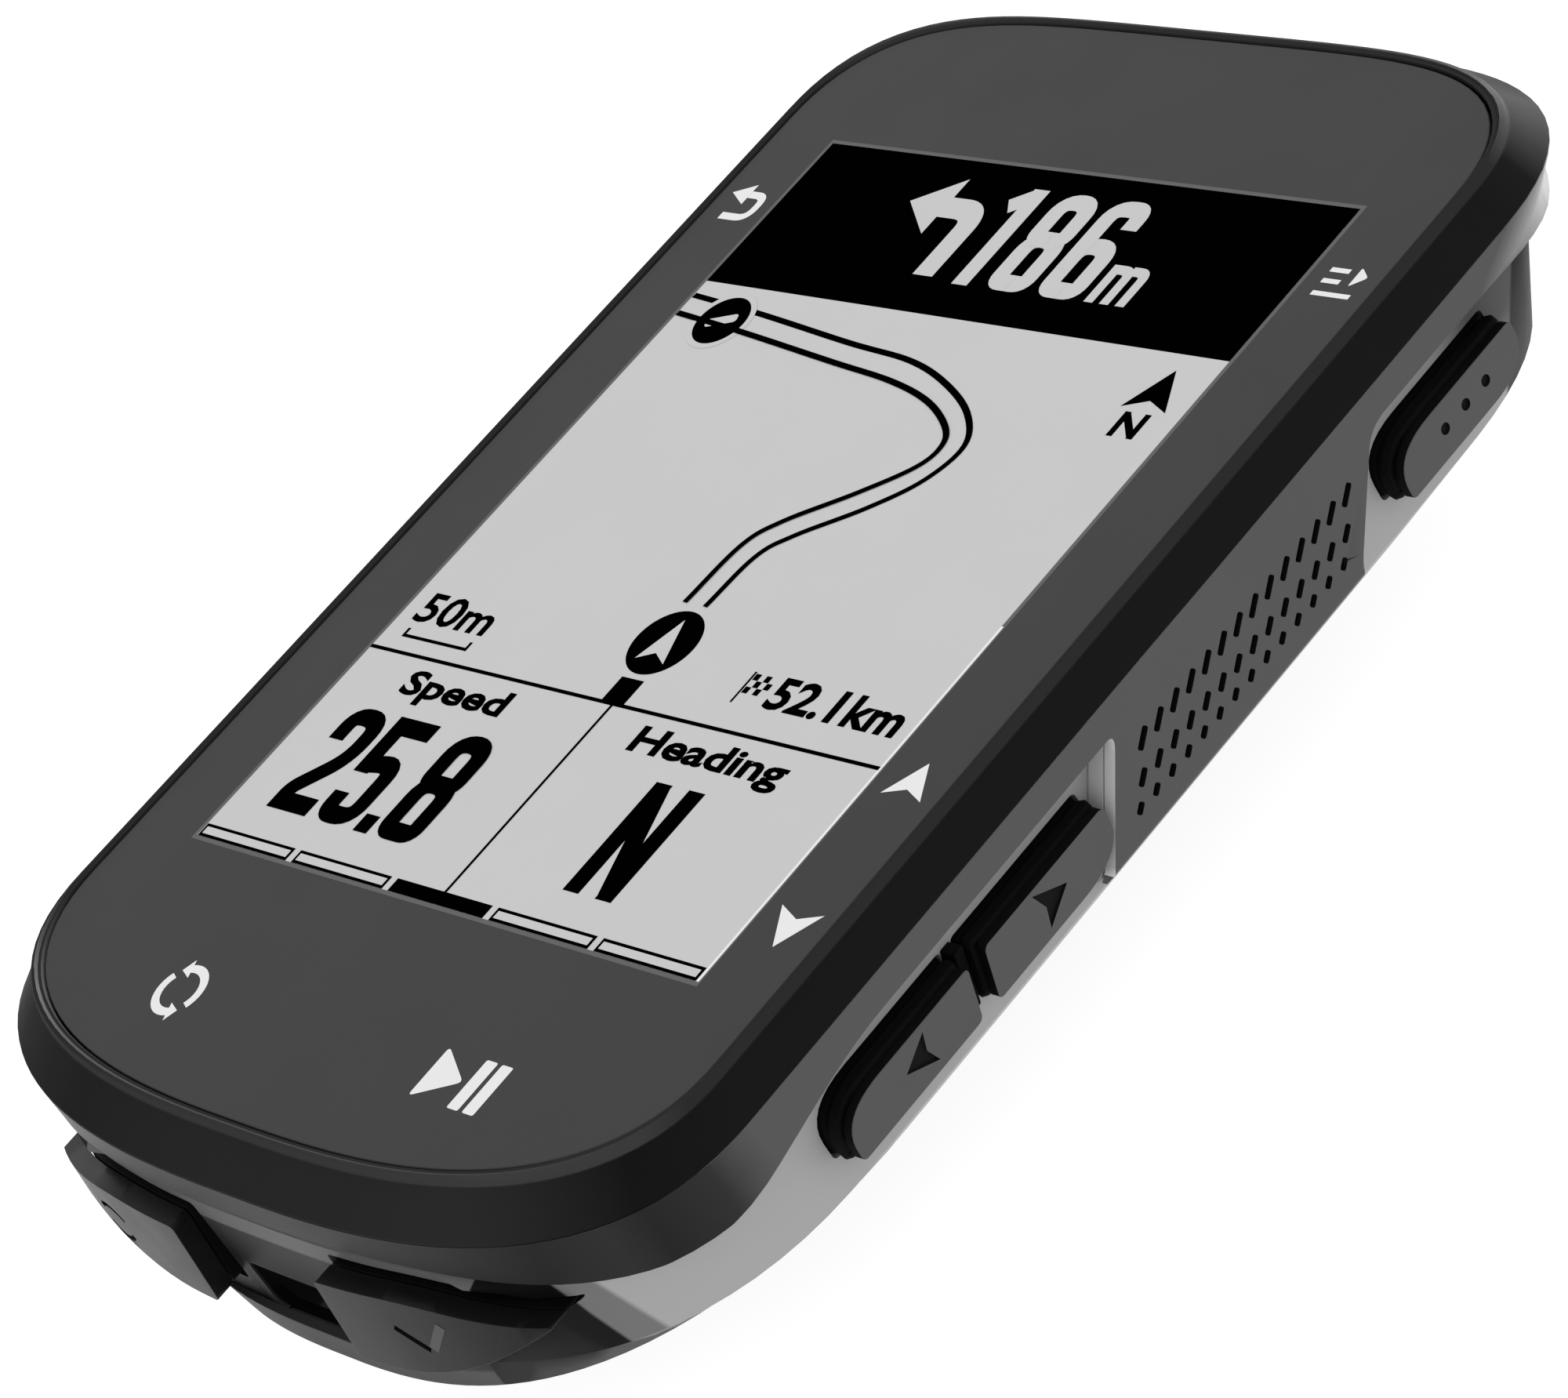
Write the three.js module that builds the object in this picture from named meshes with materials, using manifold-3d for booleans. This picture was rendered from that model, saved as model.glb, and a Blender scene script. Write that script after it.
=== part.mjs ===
// Cycling computer: a bar-mounted display unit, built as the separate pieces it is assembled from.
// Millimetres. The origin is the centre of the quarter-turn mount's outer face, +Z is the way the
// screen looks and +Y points to the top of the screen. The pieces are drawn in the screen's own
// frame (z = 0 on the lens, y = 0 at the screen's centre) inside one group that is set in place.
import * as THREE from 'three';
import * as BufferGeometryUtils from 'three/addons/utils/BufferGeometryUtils.js';
import Module from 'manifold-3d';

const wasm = await Module();
wasm.setup();

// Driving dimensions
const THICKNESS = 18.3;
const SCREEN_Y = 2.0;
const BACK_Z = -14.3;
const MOUNT_Z = -THICKNESS;
const GAP = 0.12;
const CORNER_STEPS = 12;
const SIDE_X = 25.75;
const BAND_THICK = 0.7;
const CORE_X = 23.9;
const WALL = 1.5;
const FLOOR_Z = BACK_Z + 1.4;

// Outlines of the body, seen from the front: half width, both ends, and the extra length that each
// one's corners take along the sides, at the top and at the bottom
const LENS = { half: 23.85, top: 35.65, bottom: -39.25, soft: [0, 0] };
const BEZEL = { half: SIDE_X, top: 37.7, bottom: -41.9, soft: [1.8, 1.2] };
const LIP_FOOT = { half: SIDE_X, top: 37.0, bottom: -41.9, soft: [4.4, 1.4] };
const TOP_START = 8.7;
const BOTTOM_START = 10.4;
const TOP_POWERS = [4.9, 2.3];
const BOTTOM_POWERS = [2.75, 2.3];

// Levels, downwards from the lens
const RIM_Z = 0.15;
const LENS_THICK = 0.9;
const LEDGE_Z = -1.2;
const BEZEL_Z = -2.0;
const LIP_Z = -3.55;
const SKIRT_Z = -4.0;
const TOP_LIP_Z = -4.4;
const LOW_LIP_Z = -5.3;
const CORE_TOP_Z = -2.9;
const POCKET_TOP_Z = -4.7;
const GRIP_Z = -8.8;
const BAND_LOW_Z = -9.9;
const SHOULDER_Z = -10.3;
const CHAMFER_Z = -12.9;
const PCB_TOP_Z = -8.1;
const PCB_Z = -9.1;

// The screen's window and the stack under it
const WINDOW = { half: 20.6, top: 27.4, bottom: -27.4 };
const GLASS = { half: 20.0, top: 26.9, bottom: -26.9 };
const BACKLIGHT = { half: 19.8, top: 26.6, bottom: -26.6 };

// Side buttons, drawn in the (y, z) plane: faces 2.6 mm tall between these levels
const BUTTON_TOP_Z = -5.65;
const BUTTON_LOW_Z = -8.25;
const BUTTON_MID_Z = (BUTTON_TOP_Z + BUTTON_LOW_Z) / 2;
const BUTTON_FACE_X = 25.85;
const KEY_SMALL = 0.35;
const KEY_LONG = 3.0;
const KEY_TALL = 2.0;
const CAP_THICK = 0.6;
const WINDOW_GAP = 0.25;
const STEM_HALF = 2.6;
const STEM_RISE = 0.7;
const STEM_X = 21.15;

// Tact switches behind the buttons, standing on the board
const SWITCH_HALF = 2.1;
const SWITCH_TOP_Z = -5.9;
const WELL_R = 0.85;
const PLUNGER_R = 0.55;
const PLUNGER_LONG = 1.1;
const SEAT_GAP = 0.05;

// End buttons, drawn in the (x, z) plane: fins whose faces lean out towards the back of the body
const END_CORE_Y = -42.5;
const END_FACE = { half: 24.1, top: 20, bottom: -43.1, soft: [0, 0] };
const END_LEAN = 0.08;
const END_KEY = { near: 5.5, bend: 11.8, far: 19.2, top: -4.85, low: -9.65 };
const END_CAP_THICK = 1.1;
const END_BOOT_DEEP = 3.2;
const END_RECESS = { deep: 1.4, top: -4.1, low: -11.3 };
const END_SWITCH = { x: 11.5, z: -7.1, front: -37.75, back: -35.95 };

// Lanyard slot, charging door and quarter-turn mount
const LANYARD = { half: 4.0, top: -8.2, low: -11.3, back: -38.6, bar: -41.0 };
const DOOR = { half: 7.8, near: -27.4, far: -34.8, thick: 1.1 };
const PORT_Y = -31.0;
const MOUNT_Y = -SCREEN_Y;
const MOUNT_CORE_R = 12.8;
const MOUNT_TAB_R = 15.6;
const MOUNT_TAB_THICK = 1.9;
const MOUNT_SCREW_X = 8.5;
const CASE_SCREWS = [[14.6, 23.6], [-14.6, 23.6], [14.2, -32.2], [-14.2, -32.2]];

// Materials
const finish = (color, roughness, metalness = 0) => ({ color, roughness, metalness });
const PANEL = finish(0x4b4b4b, 0.45);
const BLACK = finish(0x1b1b1c, 0.4);
const GRIP = finish(0x525252, 0.6);
const CORE = finish(0xa0a0a0, 0.35);
const RUBBER = finish(0x0c0c0c, 0.8);
const LCD = finish(0xcbcbcb, 0.5);
const CIRCUIT = finish(0x1d4a2c, 0.5);
const METAL = finish(0xb8b8b8, 0.3, 1.0);
const FOIL = finish(0x8c9198, 0.4, 0.6);
const CERAMIC = finish(0xd9cfae, 0.6);
const STEEL = finish(0x9a9a9c, 0.35, 1.0);
const FILM = finish(0xb26b1f, 0.5);

// ---- solids and booleans ----

function toSolid(geometry) {
  const bare = geometry.clone();
  bare.deleteAttribute('normal');
  bare.deleteAttribute('uv');
  const merged = BufferGeometryUtils.mergeVertices(bare, 1e-4);
  const mesh = new wasm.Mesh({
    numProp: 3,
    vertProperties: new Float32Array(merged.attributes.position.array),
    triVerts: new Uint32Array(merged.index.array),
  });
  return new wasm.Manifold(mesh);
}

function toGeometry(solid) {
  const mesh = solid.getMesh();
  const geometry = new THREE.BufferGeometry();
  geometry.setAttribute('position', new THREE.BufferAttribute(mesh.vertProperties, 3));
  geometry.setIndex(new THREE.BufferAttribute(mesh.triVerts, 1));
  return geometry;
}

function cut(body, ...tools) {
  let solid = toSolid(body);
  for (const tool of tools) solid = solid.subtract(toSolid(tool));
  return toGeometry(solid);
}

function join(body, ...others) {
  let solid = toSolid(body);
  for (const other of others) solid = solid.add(toSolid(other));
  return toGeometry(solid);
}

function common(body, tool) {
  return toGeometry(toSolid(body).intersect(toSolid(tool)));
}

// ---- outlines ----

// Closed outline with straight sides and super-elliptic ends, counter-clockwise from the right side
function outline({ half, top, bottom, soft = [0, 0] }) {
  const points = [];
  const end = (limit, start, [powerX, powerY], from, to) => {
    const depth = Math.abs(limit - start);
    for (let i = 0; i <= CORNER_STEPS; i += 1) {
      const u = from + ((to - from) * i) / CORNER_STEPS;
      const c = Math.abs(Math.cos(u)) ** (2 / powerX);
      const s = Math.abs(Math.sin(u)) ** (2 / powerY);
      const y = start + Math.sign(limit - start) * depth * s;
      points.push(new THREE.Vector2(half * c * Math.sign(Math.cos(u) + 1e-9), y));
    }
    points.pop();
  };
  const quarter = Math.PI / 2;
  const topStart = top - TOP_START - soft[0];
  const bottomStart = bottom + BOTTOM_START + soft[1];
  end(top, topStart, TOP_POWERS, 0, quarter);
  end(top, topStart, TOP_POWERS, quarter, 2 * quarter);
  points.push(new THREE.Vector2(-half, topStart));
  end(bottom, bottomStart, BOTTOM_POWERS, 2 * quarter, 3 * quarter);
  end(bottom, bottomStart, BOTTOM_POWERS, 3 * quarter, 4 * quarter);
  points.push(new THREE.Vector2(half, bottomStart));
  return points;
}

function grow({ half, top, bottom, soft }, by) {
  return { half: half + by, top: top + by, bottom: bottom - by, soft };
}

// Solid through a stack of outlines, each given at its own level from low to high
function loft(levels) {
  const rings = levels.map(([z, shape]) => outline(shape).map((p) => [p.x, p.y, z]));
  const count = rings[0].length;
  const positions = rings.flat(2);
  const index = [];
  for (let r = 0; r + 1 < rings.length; r += 1) {
    for (let i = 0; i < count; i += 1) {
      const a = r * count + i;
      const b = r * count + ((i + 1) % count);
      index.push(a, b, b + count, a, b + count, a + count);
    }
  }
  const top = (rings.length - 1) * count;
  const caps = (ring) => THREE.ShapeUtils.triangulateShape(
    ring.map(([x, y]) => new THREE.Vector2(x, y)), []);
  for (const [a, b, c] of caps(rings[0])) index.push(c, b, a);
  for (const [a, b, c] of caps(rings[rings.length - 1])) index.push(top + a, top + b, top + c);
  const geometry = new THREE.BufferGeometry();
  geometry.setAttribute('position', new THREE.Float32BufferAttribute(positions, 3));
  geometry.setIndex(index);
  return geometry;
}

function plate(shape, low, high) {
  return loft([[low, shape], [high, shape]]);
}

// Polygon with rounded corners: each corner is [u, v, rounding before it, rounding after it]
function rounded(corners) {
  const shape = new THREE.Shape();
  const count = corners.length;
  const towards = (from, to, distance) => {
    const a = new THREE.Vector2(from[0], from[1]);
    const b = new THREE.Vector2(to[0], to[1]);
    return a.add(b.sub(a.clone()).setLength(distance));
  };
  corners.forEach((corner, i) => {
    const before = corners[(i + count - 1) % count];
    const after = corners[(i + 1) % count];
    const start = towards(corner, before, corner[2]);
    const finishPoint = towards(corner, after, corner[3]);
    if (i === 0) shape.moveTo(start.x, start.y);
    else shape.lineTo(start.x, start.y);
    shape.quadraticCurveTo(corner[0], corner[1], finishPoint.x, finishPoint.y);
  });
  shape.closePath();
  return shape;
}

function extrude(shape, depth, curveSegments = 5) {
  return new THREE.ExtrudeGeometry(shape, { depth, bevelEnabled: false, curveSegments });
}

// Shape in (y, z) pushed along +X from x0 to x1
function alongX(shape, x0, x1) {
  const basis = new THREE.Matrix4().makeBasis(
    new THREE.Vector3(0, 1, 0), new THREE.Vector3(0, 0, 1), new THREE.Vector3(1, 0, 0));
  return extrude(shape, x1 - x0).applyMatrix4(basis).translate(x0, 0, 0);
}

// Shape in (x, z) pushed along Y from the higher y1 down to y0
function alongY(shape, y0, y1) {
  const basis = new THREE.Matrix4().makeBasis(
    new THREE.Vector3(1, 0, 0), new THREE.Vector3(0, 0, 1), new THREE.Vector3(0, -1, 0));
  return extrude(shape, y1 - y0).applyMatrix4(basis).translate(0, y1, 0);
}

function box(x0, x1, y0, y1, z0, z1) {
  return new THREE.BoxGeometry(x1 - x0, y1 - y0, z1 - z0)
    .translate((x0 + x1) / 2, (y0 + y1) / 2, (z0 + z1) / 2);
}

function slab({ half, top, bottom }, z0, z1) {
  return box(-half, half, bottom, top, z0, z1);
}

function post(x, y, z0, z1, radius, sides = 20) {
  return new THREE.CylinderGeometry(radius, radius, z1 - z0, sides)
    .rotateX(Math.PI / 2).translate(x, y, (z0 + z1) / 2);
}

function mirrorX(geometry) {
  const turned = geometry.clone().scale(-1, 1, 1);
  const index = turned.index ? Array.from(turned.index.array)
    : Array.from({ length: turned.attributes.position.count }, (_, i) => i);
  for (let i = 0; i < index.length; i += 3) [index[i], index[i + 1]] = [index[i + 1], index[i]];
  turned.setIndex(index);
  return turned;
}

// ---- pieces ----

const device = new THREE.Group();
device.position.set(0, SCREEN_Y, THICKNESS);

function add(name, geometry, { color, roughness, metalness }) {
  const material = new THREE.MeshStandardMaterial({ color, roughness, metalness });
  const mesh = new THREE.Mesh(geometry, material);
  mesh.name = name;
  device.add(mesh);
}

// Front: lens, its adhesive, the sloped bezel
function coverLens() {
  return plate(LENS, -LENS_THICK, 0);
}

function lensAdhesive() {
  const low = LEDGE_Z + 0.04;
  const high = -LENS_THICK - 0.04;
  return cut(plate(grow(LENS, -0.8), low, high), slab(WINDOW, low - 1, high + 1));
}

function bezelFrame() {
  const outer = loft([
    [BEZEL_Z, BEZEL],
    [-0.25, grow(LENS, 0.62)],
    [RIM_Z, grow(LENS, 0.38)],
  ]);
  const skirt = cut(
    plate({ half: 22.0, top: 33.6, bottom: -38.4 }, SKIRT_Z, BEZEL_Z),
    plate({ half: 21.1, top: 32.7, bottom: -37.5 }, SKIRT_Z - 1, BEZEL_Z),
  );
  return cut(
    join(outer, skirt),
    plate(grow(LENS, 0.14), LEDGE_Z, 1),
    slab(WINDOW, SKIRT_Z - 1, 1),
  );
}

// Screen: liquid crystal glass, light guide, flat cable and the chassis that carries them
function flatCable() {
  const folded = rounded([
    [-22.0, -4.3, 0.1, 0.1], [-30.6, -4.3, 0.6, 0.6], [-30.6, -7.9, 0.1, 0.1], [-30.3, -7.9, 0.1, 0.1],
    [-30.3, -4.6, 0.5, 0.5], [-22.0, -4.6, 0.1, 0.1],
  ].map(([y, z, a, b]) => [y + 3.0, z, a, b]));
  return alongX(folded, -14.6, -7.4);
}

function chassis() {
  const sheet = plate({ half: 20.8, top: 30.6, bottom: -36.2, soft: [3, 3] }, -5.6, -4.9);
  const posts = CASE_SCREWS.map(([x, y]) => post(x, y, -10.0, -5.3, 2.2));
  const pilots = CASE_SCREWS.map(([x, y]) => post(x, y, -10.5, -6.2, 0.9, 12));
  return cut(
    join(sheet, ...posts),
    ...pilots,
    box(-15.4, -6.6, -28.6, -26.2, -6, -4),
    box(-9.8, 9.8, 27.2, 33, -6, -4),
    box(-5.4, 5.4, -33.4, -28.8, -6, -4),
  );
}

// Side band: the lip round the body and the two slotted grips, in one moulding
const SCOOPS = {
  lower: (tip, foot) => [
    [foot - 1.2, -12, 0.1, 0.1], [foot, GRIP_Z, 0.3, 0.3], [tip, LIP_Z, 0.9, 0.7], [-24, LIP_Z, 2.5, 2.5],
    [-33, LOW_LIP_Z, 3.0, 0.5], [-60, LOW_LIP_Z, 0.1, 0.1], [-60, -12, 0.1, 0.1],
  ],
  upper: (tip, foot) => [
    [foot, -12, 0.1, 0.1], [60, -12, 0.1, 0.1], [60, TOP_LIP_Z, 0.1, 0.1],
    [31, TOP_LIP_Z, 0.5, 2.0], [25.5, LIP_Z, 2.5, 2.5], [tip, LIP_Z, 1.2, 1.0],
    [foot, GRIP_Z + 0.3, 0.9, 0.3],
  ],
};

function scoop(side, end, tip, foot) {
  const blade = alongX(rounded(SCOOPS[end](tip, foot)), 15, 30);
  return side > 0 ? blade : mirrorX(blade);
}

// The lip's lower edge at each end of the body
function endTrim(direction) {
  const cornerZ = direction < 0 ? LOW_LIP_Z : TOP_LIP_Z;
  const wide = rounded([
    [-23.5, -12, 0.1, 0.1], [23.5, -12, 0.1, 0.1], [23.5, cornerZ, 0.1, 0.1],
    [11.5, LIP_Z, 4, 4], [-11.5, LIP_Z, 4, 4], [-23.5, cornerZ, 0.1, 0.1],
  ]);
  return direction < 0 ? alongY(wide, -60, -31) : alongY(wide, 31, 60);
}

// Rows of slanted slots cut in the grips: [first y, z, slot length]
const SLOT_ROWS = [[-3.7, -5.0, 1.15], [-4.75, -6.45, 0.9], [-5.7, -7.5, 0.62]];
const SLOT_PITCH = 1.225;
const SLOT_COUNT = 14;
const SLOT_WIDTH = 0.38;
const SLOT_TILT = THREE.MathUtils.degToRad(38);
const SLOT_DEPTH = 0.5;

function slots(side) {
  const pieces = [];
  for (const [y0, z, length] of SLOT_ROWS) {
    for (let i = 0; i < SLOT_COUNT; i += 1) {
      pieces.push(new THREE.BoxGeometry(2 * SLOT_DEPTH, length, SLOT_WIDTH)
        .rotateX(SLOT_TILT).translate(side * SIDE_X, y0 + i * SLOT_PITCH, z));
    }
  }
  return pieces;
}

const BAND_ROOM = { half: 30, top: 45, bottom: -50 };

function scoops() {
  return [
    scoop(1, 'lower', -4.75, -8.6),
    scoop(1, 'upper', 15.2, 11.0),
    scoop(-1, 'lower', -20.0, -25.3),
    scoop(-1, 'upper', 15.2, 11.0),
    endTrim(-1),
    endTrim(1),
  ];
}

// Solid bounded by the band's outer face moved by `by`, with its own inset at the lower edge
function bandSolid(by, lowInset, reach = 0) {
  return loft([
    [BAND_LOW_Z - reach, grow(LIP_FOOT, -lowInset)],
    [GRIP_Z, grow(LIP_FOOT, by)],
    [LIP_Z, grow(LIP_FOOT, by)],
    [BEZEL_Z - 0.04, grow(BEZEL, by)],
    [BEZEL_Z + reach, grow(BEZEL, by)],
  ]);
}

function sideBand() {
  const outer = common(bandSolid(0, 1.32), slab(BAND_ROOM, BAND_LOW_Z - 1, BEZEL_Z - 0.04));
  return cut(outer, bandSolid(-BAND_THICK, 1.75, 0.1), ...scoops(), ...slots(1), ...slots(-1));
}

// Rear housing: the tapered tub that shows in the scoops, at the ends and on the back
const CORE_LEVELS = [
  [BACK_Z, { half: 19.2, top: 28.2, bottom: -39.8, soft: [6.0, 8.5] }],
  [CHAMFER_Z, { half: 20.9, top: 30.8, bottom: -42.15, soft: [6.0, 11.0] }],
  [SHOULDER_Z, { half: CORE_X, top: 33.6, bottom: -42.2, soft: [4.5, 6.0] }],
  [POCKET_TOP_Z, { half: CORE_X, top: 36.2, bottom: END_CORE_Y, soft: [2.0, 2.5] }],
  [LIP_Z - 0.05, { half: CORE_X, top: 36.1, bottom: -40.9, soft: [2.5, 1.5] }],
  [CORE_TOP_Z, { half: CORE_X, top: 36.1, bottom: -40.7, soft: [2.5, 1.5] }],
];

function core(by = 0) {
  return loft(CORE_LEVELS.map(([z, shape]) => [z, grow(shape, by)]));
}

function cavity() {
  const walls = CORE_LEVELS.slice(2).map(([z, shape]) => [z, grow(shape, -WALL)]);
  walls[walls.length - 1][0] = 0;
  return loft([[FLOOR_Z, grow(CORE_LEVELS[1][1], -WALL - 0.8)], ...walls]);
}

// What the lip needs clear at each end, where the tub flares out under it
function lipRelief() {
  const trims = [-1, 1].map((direction) => endTrim(direction).translate(0, 0, -GAP));
  return cut(
    slab(BAND_ROOM, LOW_LIP_Z - GAP, 0),
    bandSolid(-BAND_THICK - GAP, 1.82, 3),
    ...trims,
  );
}

// Shoulders of the top end, standing proud of the side scoops and flush with the lip above them
const CHEEK_LEVELS = [
  [SHOULDER_Z, { half: 23.6, top: 33.5, bottom: 0, soft: [4.4, 0] }],
  [-9.0, { half: CORE_X, top: 34.2, bottom: 0, soft: [2.3, 0] }],
  [TOP_LIP_Z - 0.1, { half: SIDE_X - 0.4, top: 36.5, bottom: 0, soft: [2.85, 0] }],
];

function cheeks() {
  const region = rounded([
    [32.7, -12, 0.1, 0.1], [60, -12, 0.1, 0.1], [60, TOP_LIP_Z - 0.15, 0.1, 0.1],
    [31, TOP_LIP_Z - 0.15, 0.5, 0.5], [25.3, LIP_Z - 0.45, 0.1, 0.1],
  ]);
  return common(loft(CHEEK_LEVELS), alongX(region, -30, 30));
}

// Pads raised from the tub's sides, under the lip and the grips
function pads() {
  const solid = common(bandSolid(-BAND_THICK - GAP, 1.82), slab(BAND_ROOM, -12, CORE_TOP_Z));
  return cut(solid, ...scoops());
}

// Button between the upper scoop and the top corner: sharp at two corners, swept at the others
function topKey(e) {
  return [
    [15.3 - e, BUTTON_LOW_Z - e, KEY_SMALL, KEY_SMALL], [24.9 + e, BUTTON_LOW_Z - e, KEY_LONG, KEY_TALL],
    [24.9 + e, BUTTON_TOP_Z + e, KEY_SMALL, KEY_SMALL], [15.3 - e, BUTTON_TOP_Z + e, KEY_LONG, KEY_TALL],
  ];
}

// Outline corners of each side button, grown evenly by e
const SIDE_KEYS = {
  menu: (e) => topKey(e),
  back: (e) => topKey(e),
  up: (e) => [
    [-16.95 - e, BUTTON_LOW_Z - e, KEY_SMALL, KEY_SMALL],
    [-7.4 + e, BUTTON_LOW_Z - e, KEY_LONG + 0.3, KEY_TALL + 0.15],
    [-7.4 + e, BUTTON_TOP_Z + e, KEY_SMALL, KEY_SMALL],
    [-16.2 - e, BUTTON_TOP_Z + e, KEY_SMALL, KEY_SMALL],
  ],
  down: (e) => [
    [-26.8 - e, BUTTON_LOW_Z - e, KEY_SMALL, KEY_SMALL],
    [-18.15 + e, BUTTON_LOW_Z - e, KEY_SMALL, KEY_SMALL],
    [-17.4 + e, BUTTON_TOP_Z + e, KEY_SMALL, KEY_SMALL],
    [-26.8 - e, BUTTON_TOP_Z + e, KEY_LONG, KEY_TALL],
  ],
};
const KEY_CENTRE = { menu: 20.3, back: 20.3, up: -12.0, down: -22.3 };
const KEY_SIDE = { menu: 1, up: 1, down: 1, back: -1 };

function keyWindow(name) {
  const tool = join(
    alongX(rounded(SIDE_KEYS[name](WINDOW_GAP)), 21, 30),
    alongX(rounded(SIDE_KEYS[name](0.5)), 20.5, 22.2),
  );
  return KEY_SIDE[name] > 0 ? tool : mirrorX(tool);
}

// Corners of an end button in (x, z), for the right-hand side: straight at the middle of the
// body, tapering to a tip at the corner, with a top edge that drops like the lip above it
function endKey(e) {
  const { near, bend, far, top, low } = END_KEY;
  return [
    [near - e, low - e, KEY_SMALL, KEY_SMALL], [bend, low - e, 4.5, 5.0],
    [far + e, top - 1.5, 0.7, 0.4], [far - 1.6, top - 1.25 + e, 0.4, 0.4],
    [bend, top + e, 2.0, 2.0], [near - e, top + e, KEY_SMALL, KEY_SMALL],
  ];
}

// Solid bounded by the end buttons' leaning faces, moved in by a depth
function endSolid(deep, lean = END_LEAN) {
  const level = (z) => ({ ...END_FACE, bottom: END_FACE.bottom + deep + lean * (z - END_KEY.top) });
  return loft([[BACK_Z - 1, level(BACK_Z - 1)], [1, level(1)]]);
}

// Recess in the housing's end that both end buttons stand in
function endRecess() {
  const { deep, top, low } = END_RECESS;
  const { bend, far } = END_KEY;
  const region = rounded([
    [-bend, low, 5.0, 4.5], [bend, low, 4.5, 5.0], [far + 0.5, top - 2.4, 0.8, 0.6],
    [far - 1.0, top - 1.4, 0.6, 0.6], [bend, top, 2.0, 2.0],
    [-bend, top, 2.0, 2.0], [1.0 - far, top - 1.4, 0.6, 0.6], [-far - 0.5, top - 2.4, 0.6, 0.8],
  ]);
  return cut(alongY(region, -50, -36), endSolid(deep, 0));
}

function rearHousing() {
  const bosses = CASE_SCREWS.map(([x, y]) => post(x, y, FLOOR_Z - 0.2, -10.2, 2.7));
  const mountBosses = [-1, 1].map((s) => post(s * MOUNT_SCREW_X, MOUNT_Y, FLOOR_Z - 0.2, -10.4, 2.4));
  const tub = cut(join(cut(core(), lipRelief()), pads(), cheeks()), cavity());
  const inside = join(
    box(-5.1, 5.1, -42.0, -37.2, -13.6, -5.6),
    box(-9.4, 9.4, -36.6, -26.0, -13.6, -11.5),
    ...bosses,
    ...mountBosses,
  );
  const solid = join(tub, common(inside, core(-0.2)));
  const { half, top, low, back, bar } = LANYARD;
  const slot = rounded([
    [-half, low, 0.9, 0.9], [half, low, 0.9, 0.9], [half, top, 0.5, 0.5], [-half, top, 0.5, 0.5],
  ]);
  return cut(
    solid,
    endRecess(),
    alongY(slot, -50, back),
    box(-half, half, bar, back, BACK_Z - 1, top - 0.4),
    ...Object.keys(SIDE_KEYS).map(keyWindow),
    alongY(rounded(endKey(WINDOW_GAP)), -50, -36),
    mirrorX(alongY(rounded(endKey(WINDOW_GAP)), -50, -36)),
    ...CASE_SCREWS.map(([x, y]) => post(x, y, -15, -9, 1.05, 14)),
    ...CASE_SCREWS.map(([x, y]) => post(x, y, -15, FLOOR_Z, 2.1)),
    ...[-1, 1].map((s) => post(s * MOUNT_SCREW_X, MOUNT_Y, -15, -11.2, 0.8, 12)),
    box(-DOOR.half - 0.3, DOOR.half + 0.3, DOOR.far - 0.45, DOOR.near + 0.3, -15, FLOOR_Z),
    box(-4.9, 4.9, PORT_Y - 2.0, PORT_Y + 2.0, -14, -11),
    post(11.0, -19.5, -15, BACK_Z + 0.6, 2.6),
    post(11.0, -19.5, -15, -12, 0.8, 12),
  );
}

function housingSeal() {
  const seat = BEZEL_Z - 0.08;
  return cut(
    plate({ half: 23.6, top: 35.8, bottom: -40.4, soft: [3.0, 2.0] }, CORE_TOP_Z + 0.06, seat),
    plate({ half: 22.7, top: 34.9, bottom: -39.5, soft: [3.0, 2.0] }, CORE_TOP_Z - 1, 0),
  );
}

// Side button: a hard cap on a stem, through a rubber boot that lines the housing's window
function sideCap(name) {
  const face = alongX(rounded(SIDE_KEYS[name](0)), BUTTON_FACE_X - CAP_THICK, BUTTON_FACE_X);
  const middle = KEY_CENTRE[name];
  const stem = box(STEM_X, BUTTON_FACE_X - CAP_THICK / 2, middle - STEM_HALF, middle + STEM_HALF,
    BUTTON_MID_Z - STEM_RISE, BUTTON_MID_Z + STEM_RISE);
  const cap = join(face, stem);
  return KEY_SIDE[name] > 0 ? cap : mirrorX(cap);
}

function sideBoot(name) {
  const sleeve = alongX(rounded(SIDE_KEYS[name](-0.03)), 21.8, BUTTON_FACE_X - CAP_THICK - 0.08);
  const flange = alongX(rounded(SIDE_KEYS[name](0.42)), 21.5, 22.1);
  const middle = KEY_CENTRE[name];
  const half = STEM_HALF + GAP;
  const rise = STEM_RISE + GAP;
  const bore = box(20, 30, middle - half, middle + half, BUTTON_MID_Z - rise, BUTTON_MID_Z + rise);
  const boot = cut(join(sleeve, flange), bore);
  return KEY_SIDE[name] > 0 ? boot : mirrorX(boot);
}

function sideSwitch(name) {
  const middle = KEY_CENTRE[name];
  const body = box(18.6, 20.4, middle - SWITCH_HALF, middle + SWITCH_HALF, PCB_TOP_Z + SEAT_GAP,
    SWITCH_TOP_Z);
  const well = new THREE.CylinderGeometry(WELL_R, WELL_R, 2.4, 14).rotateZ(Math.PI / 2)
    .translate(20.7, middle, BUTTON_MID_Z);
  const unit = cut(body, well);
  return KEY_SIDE[name] > 0 ? unit : mirrorX(unit);
}

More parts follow.
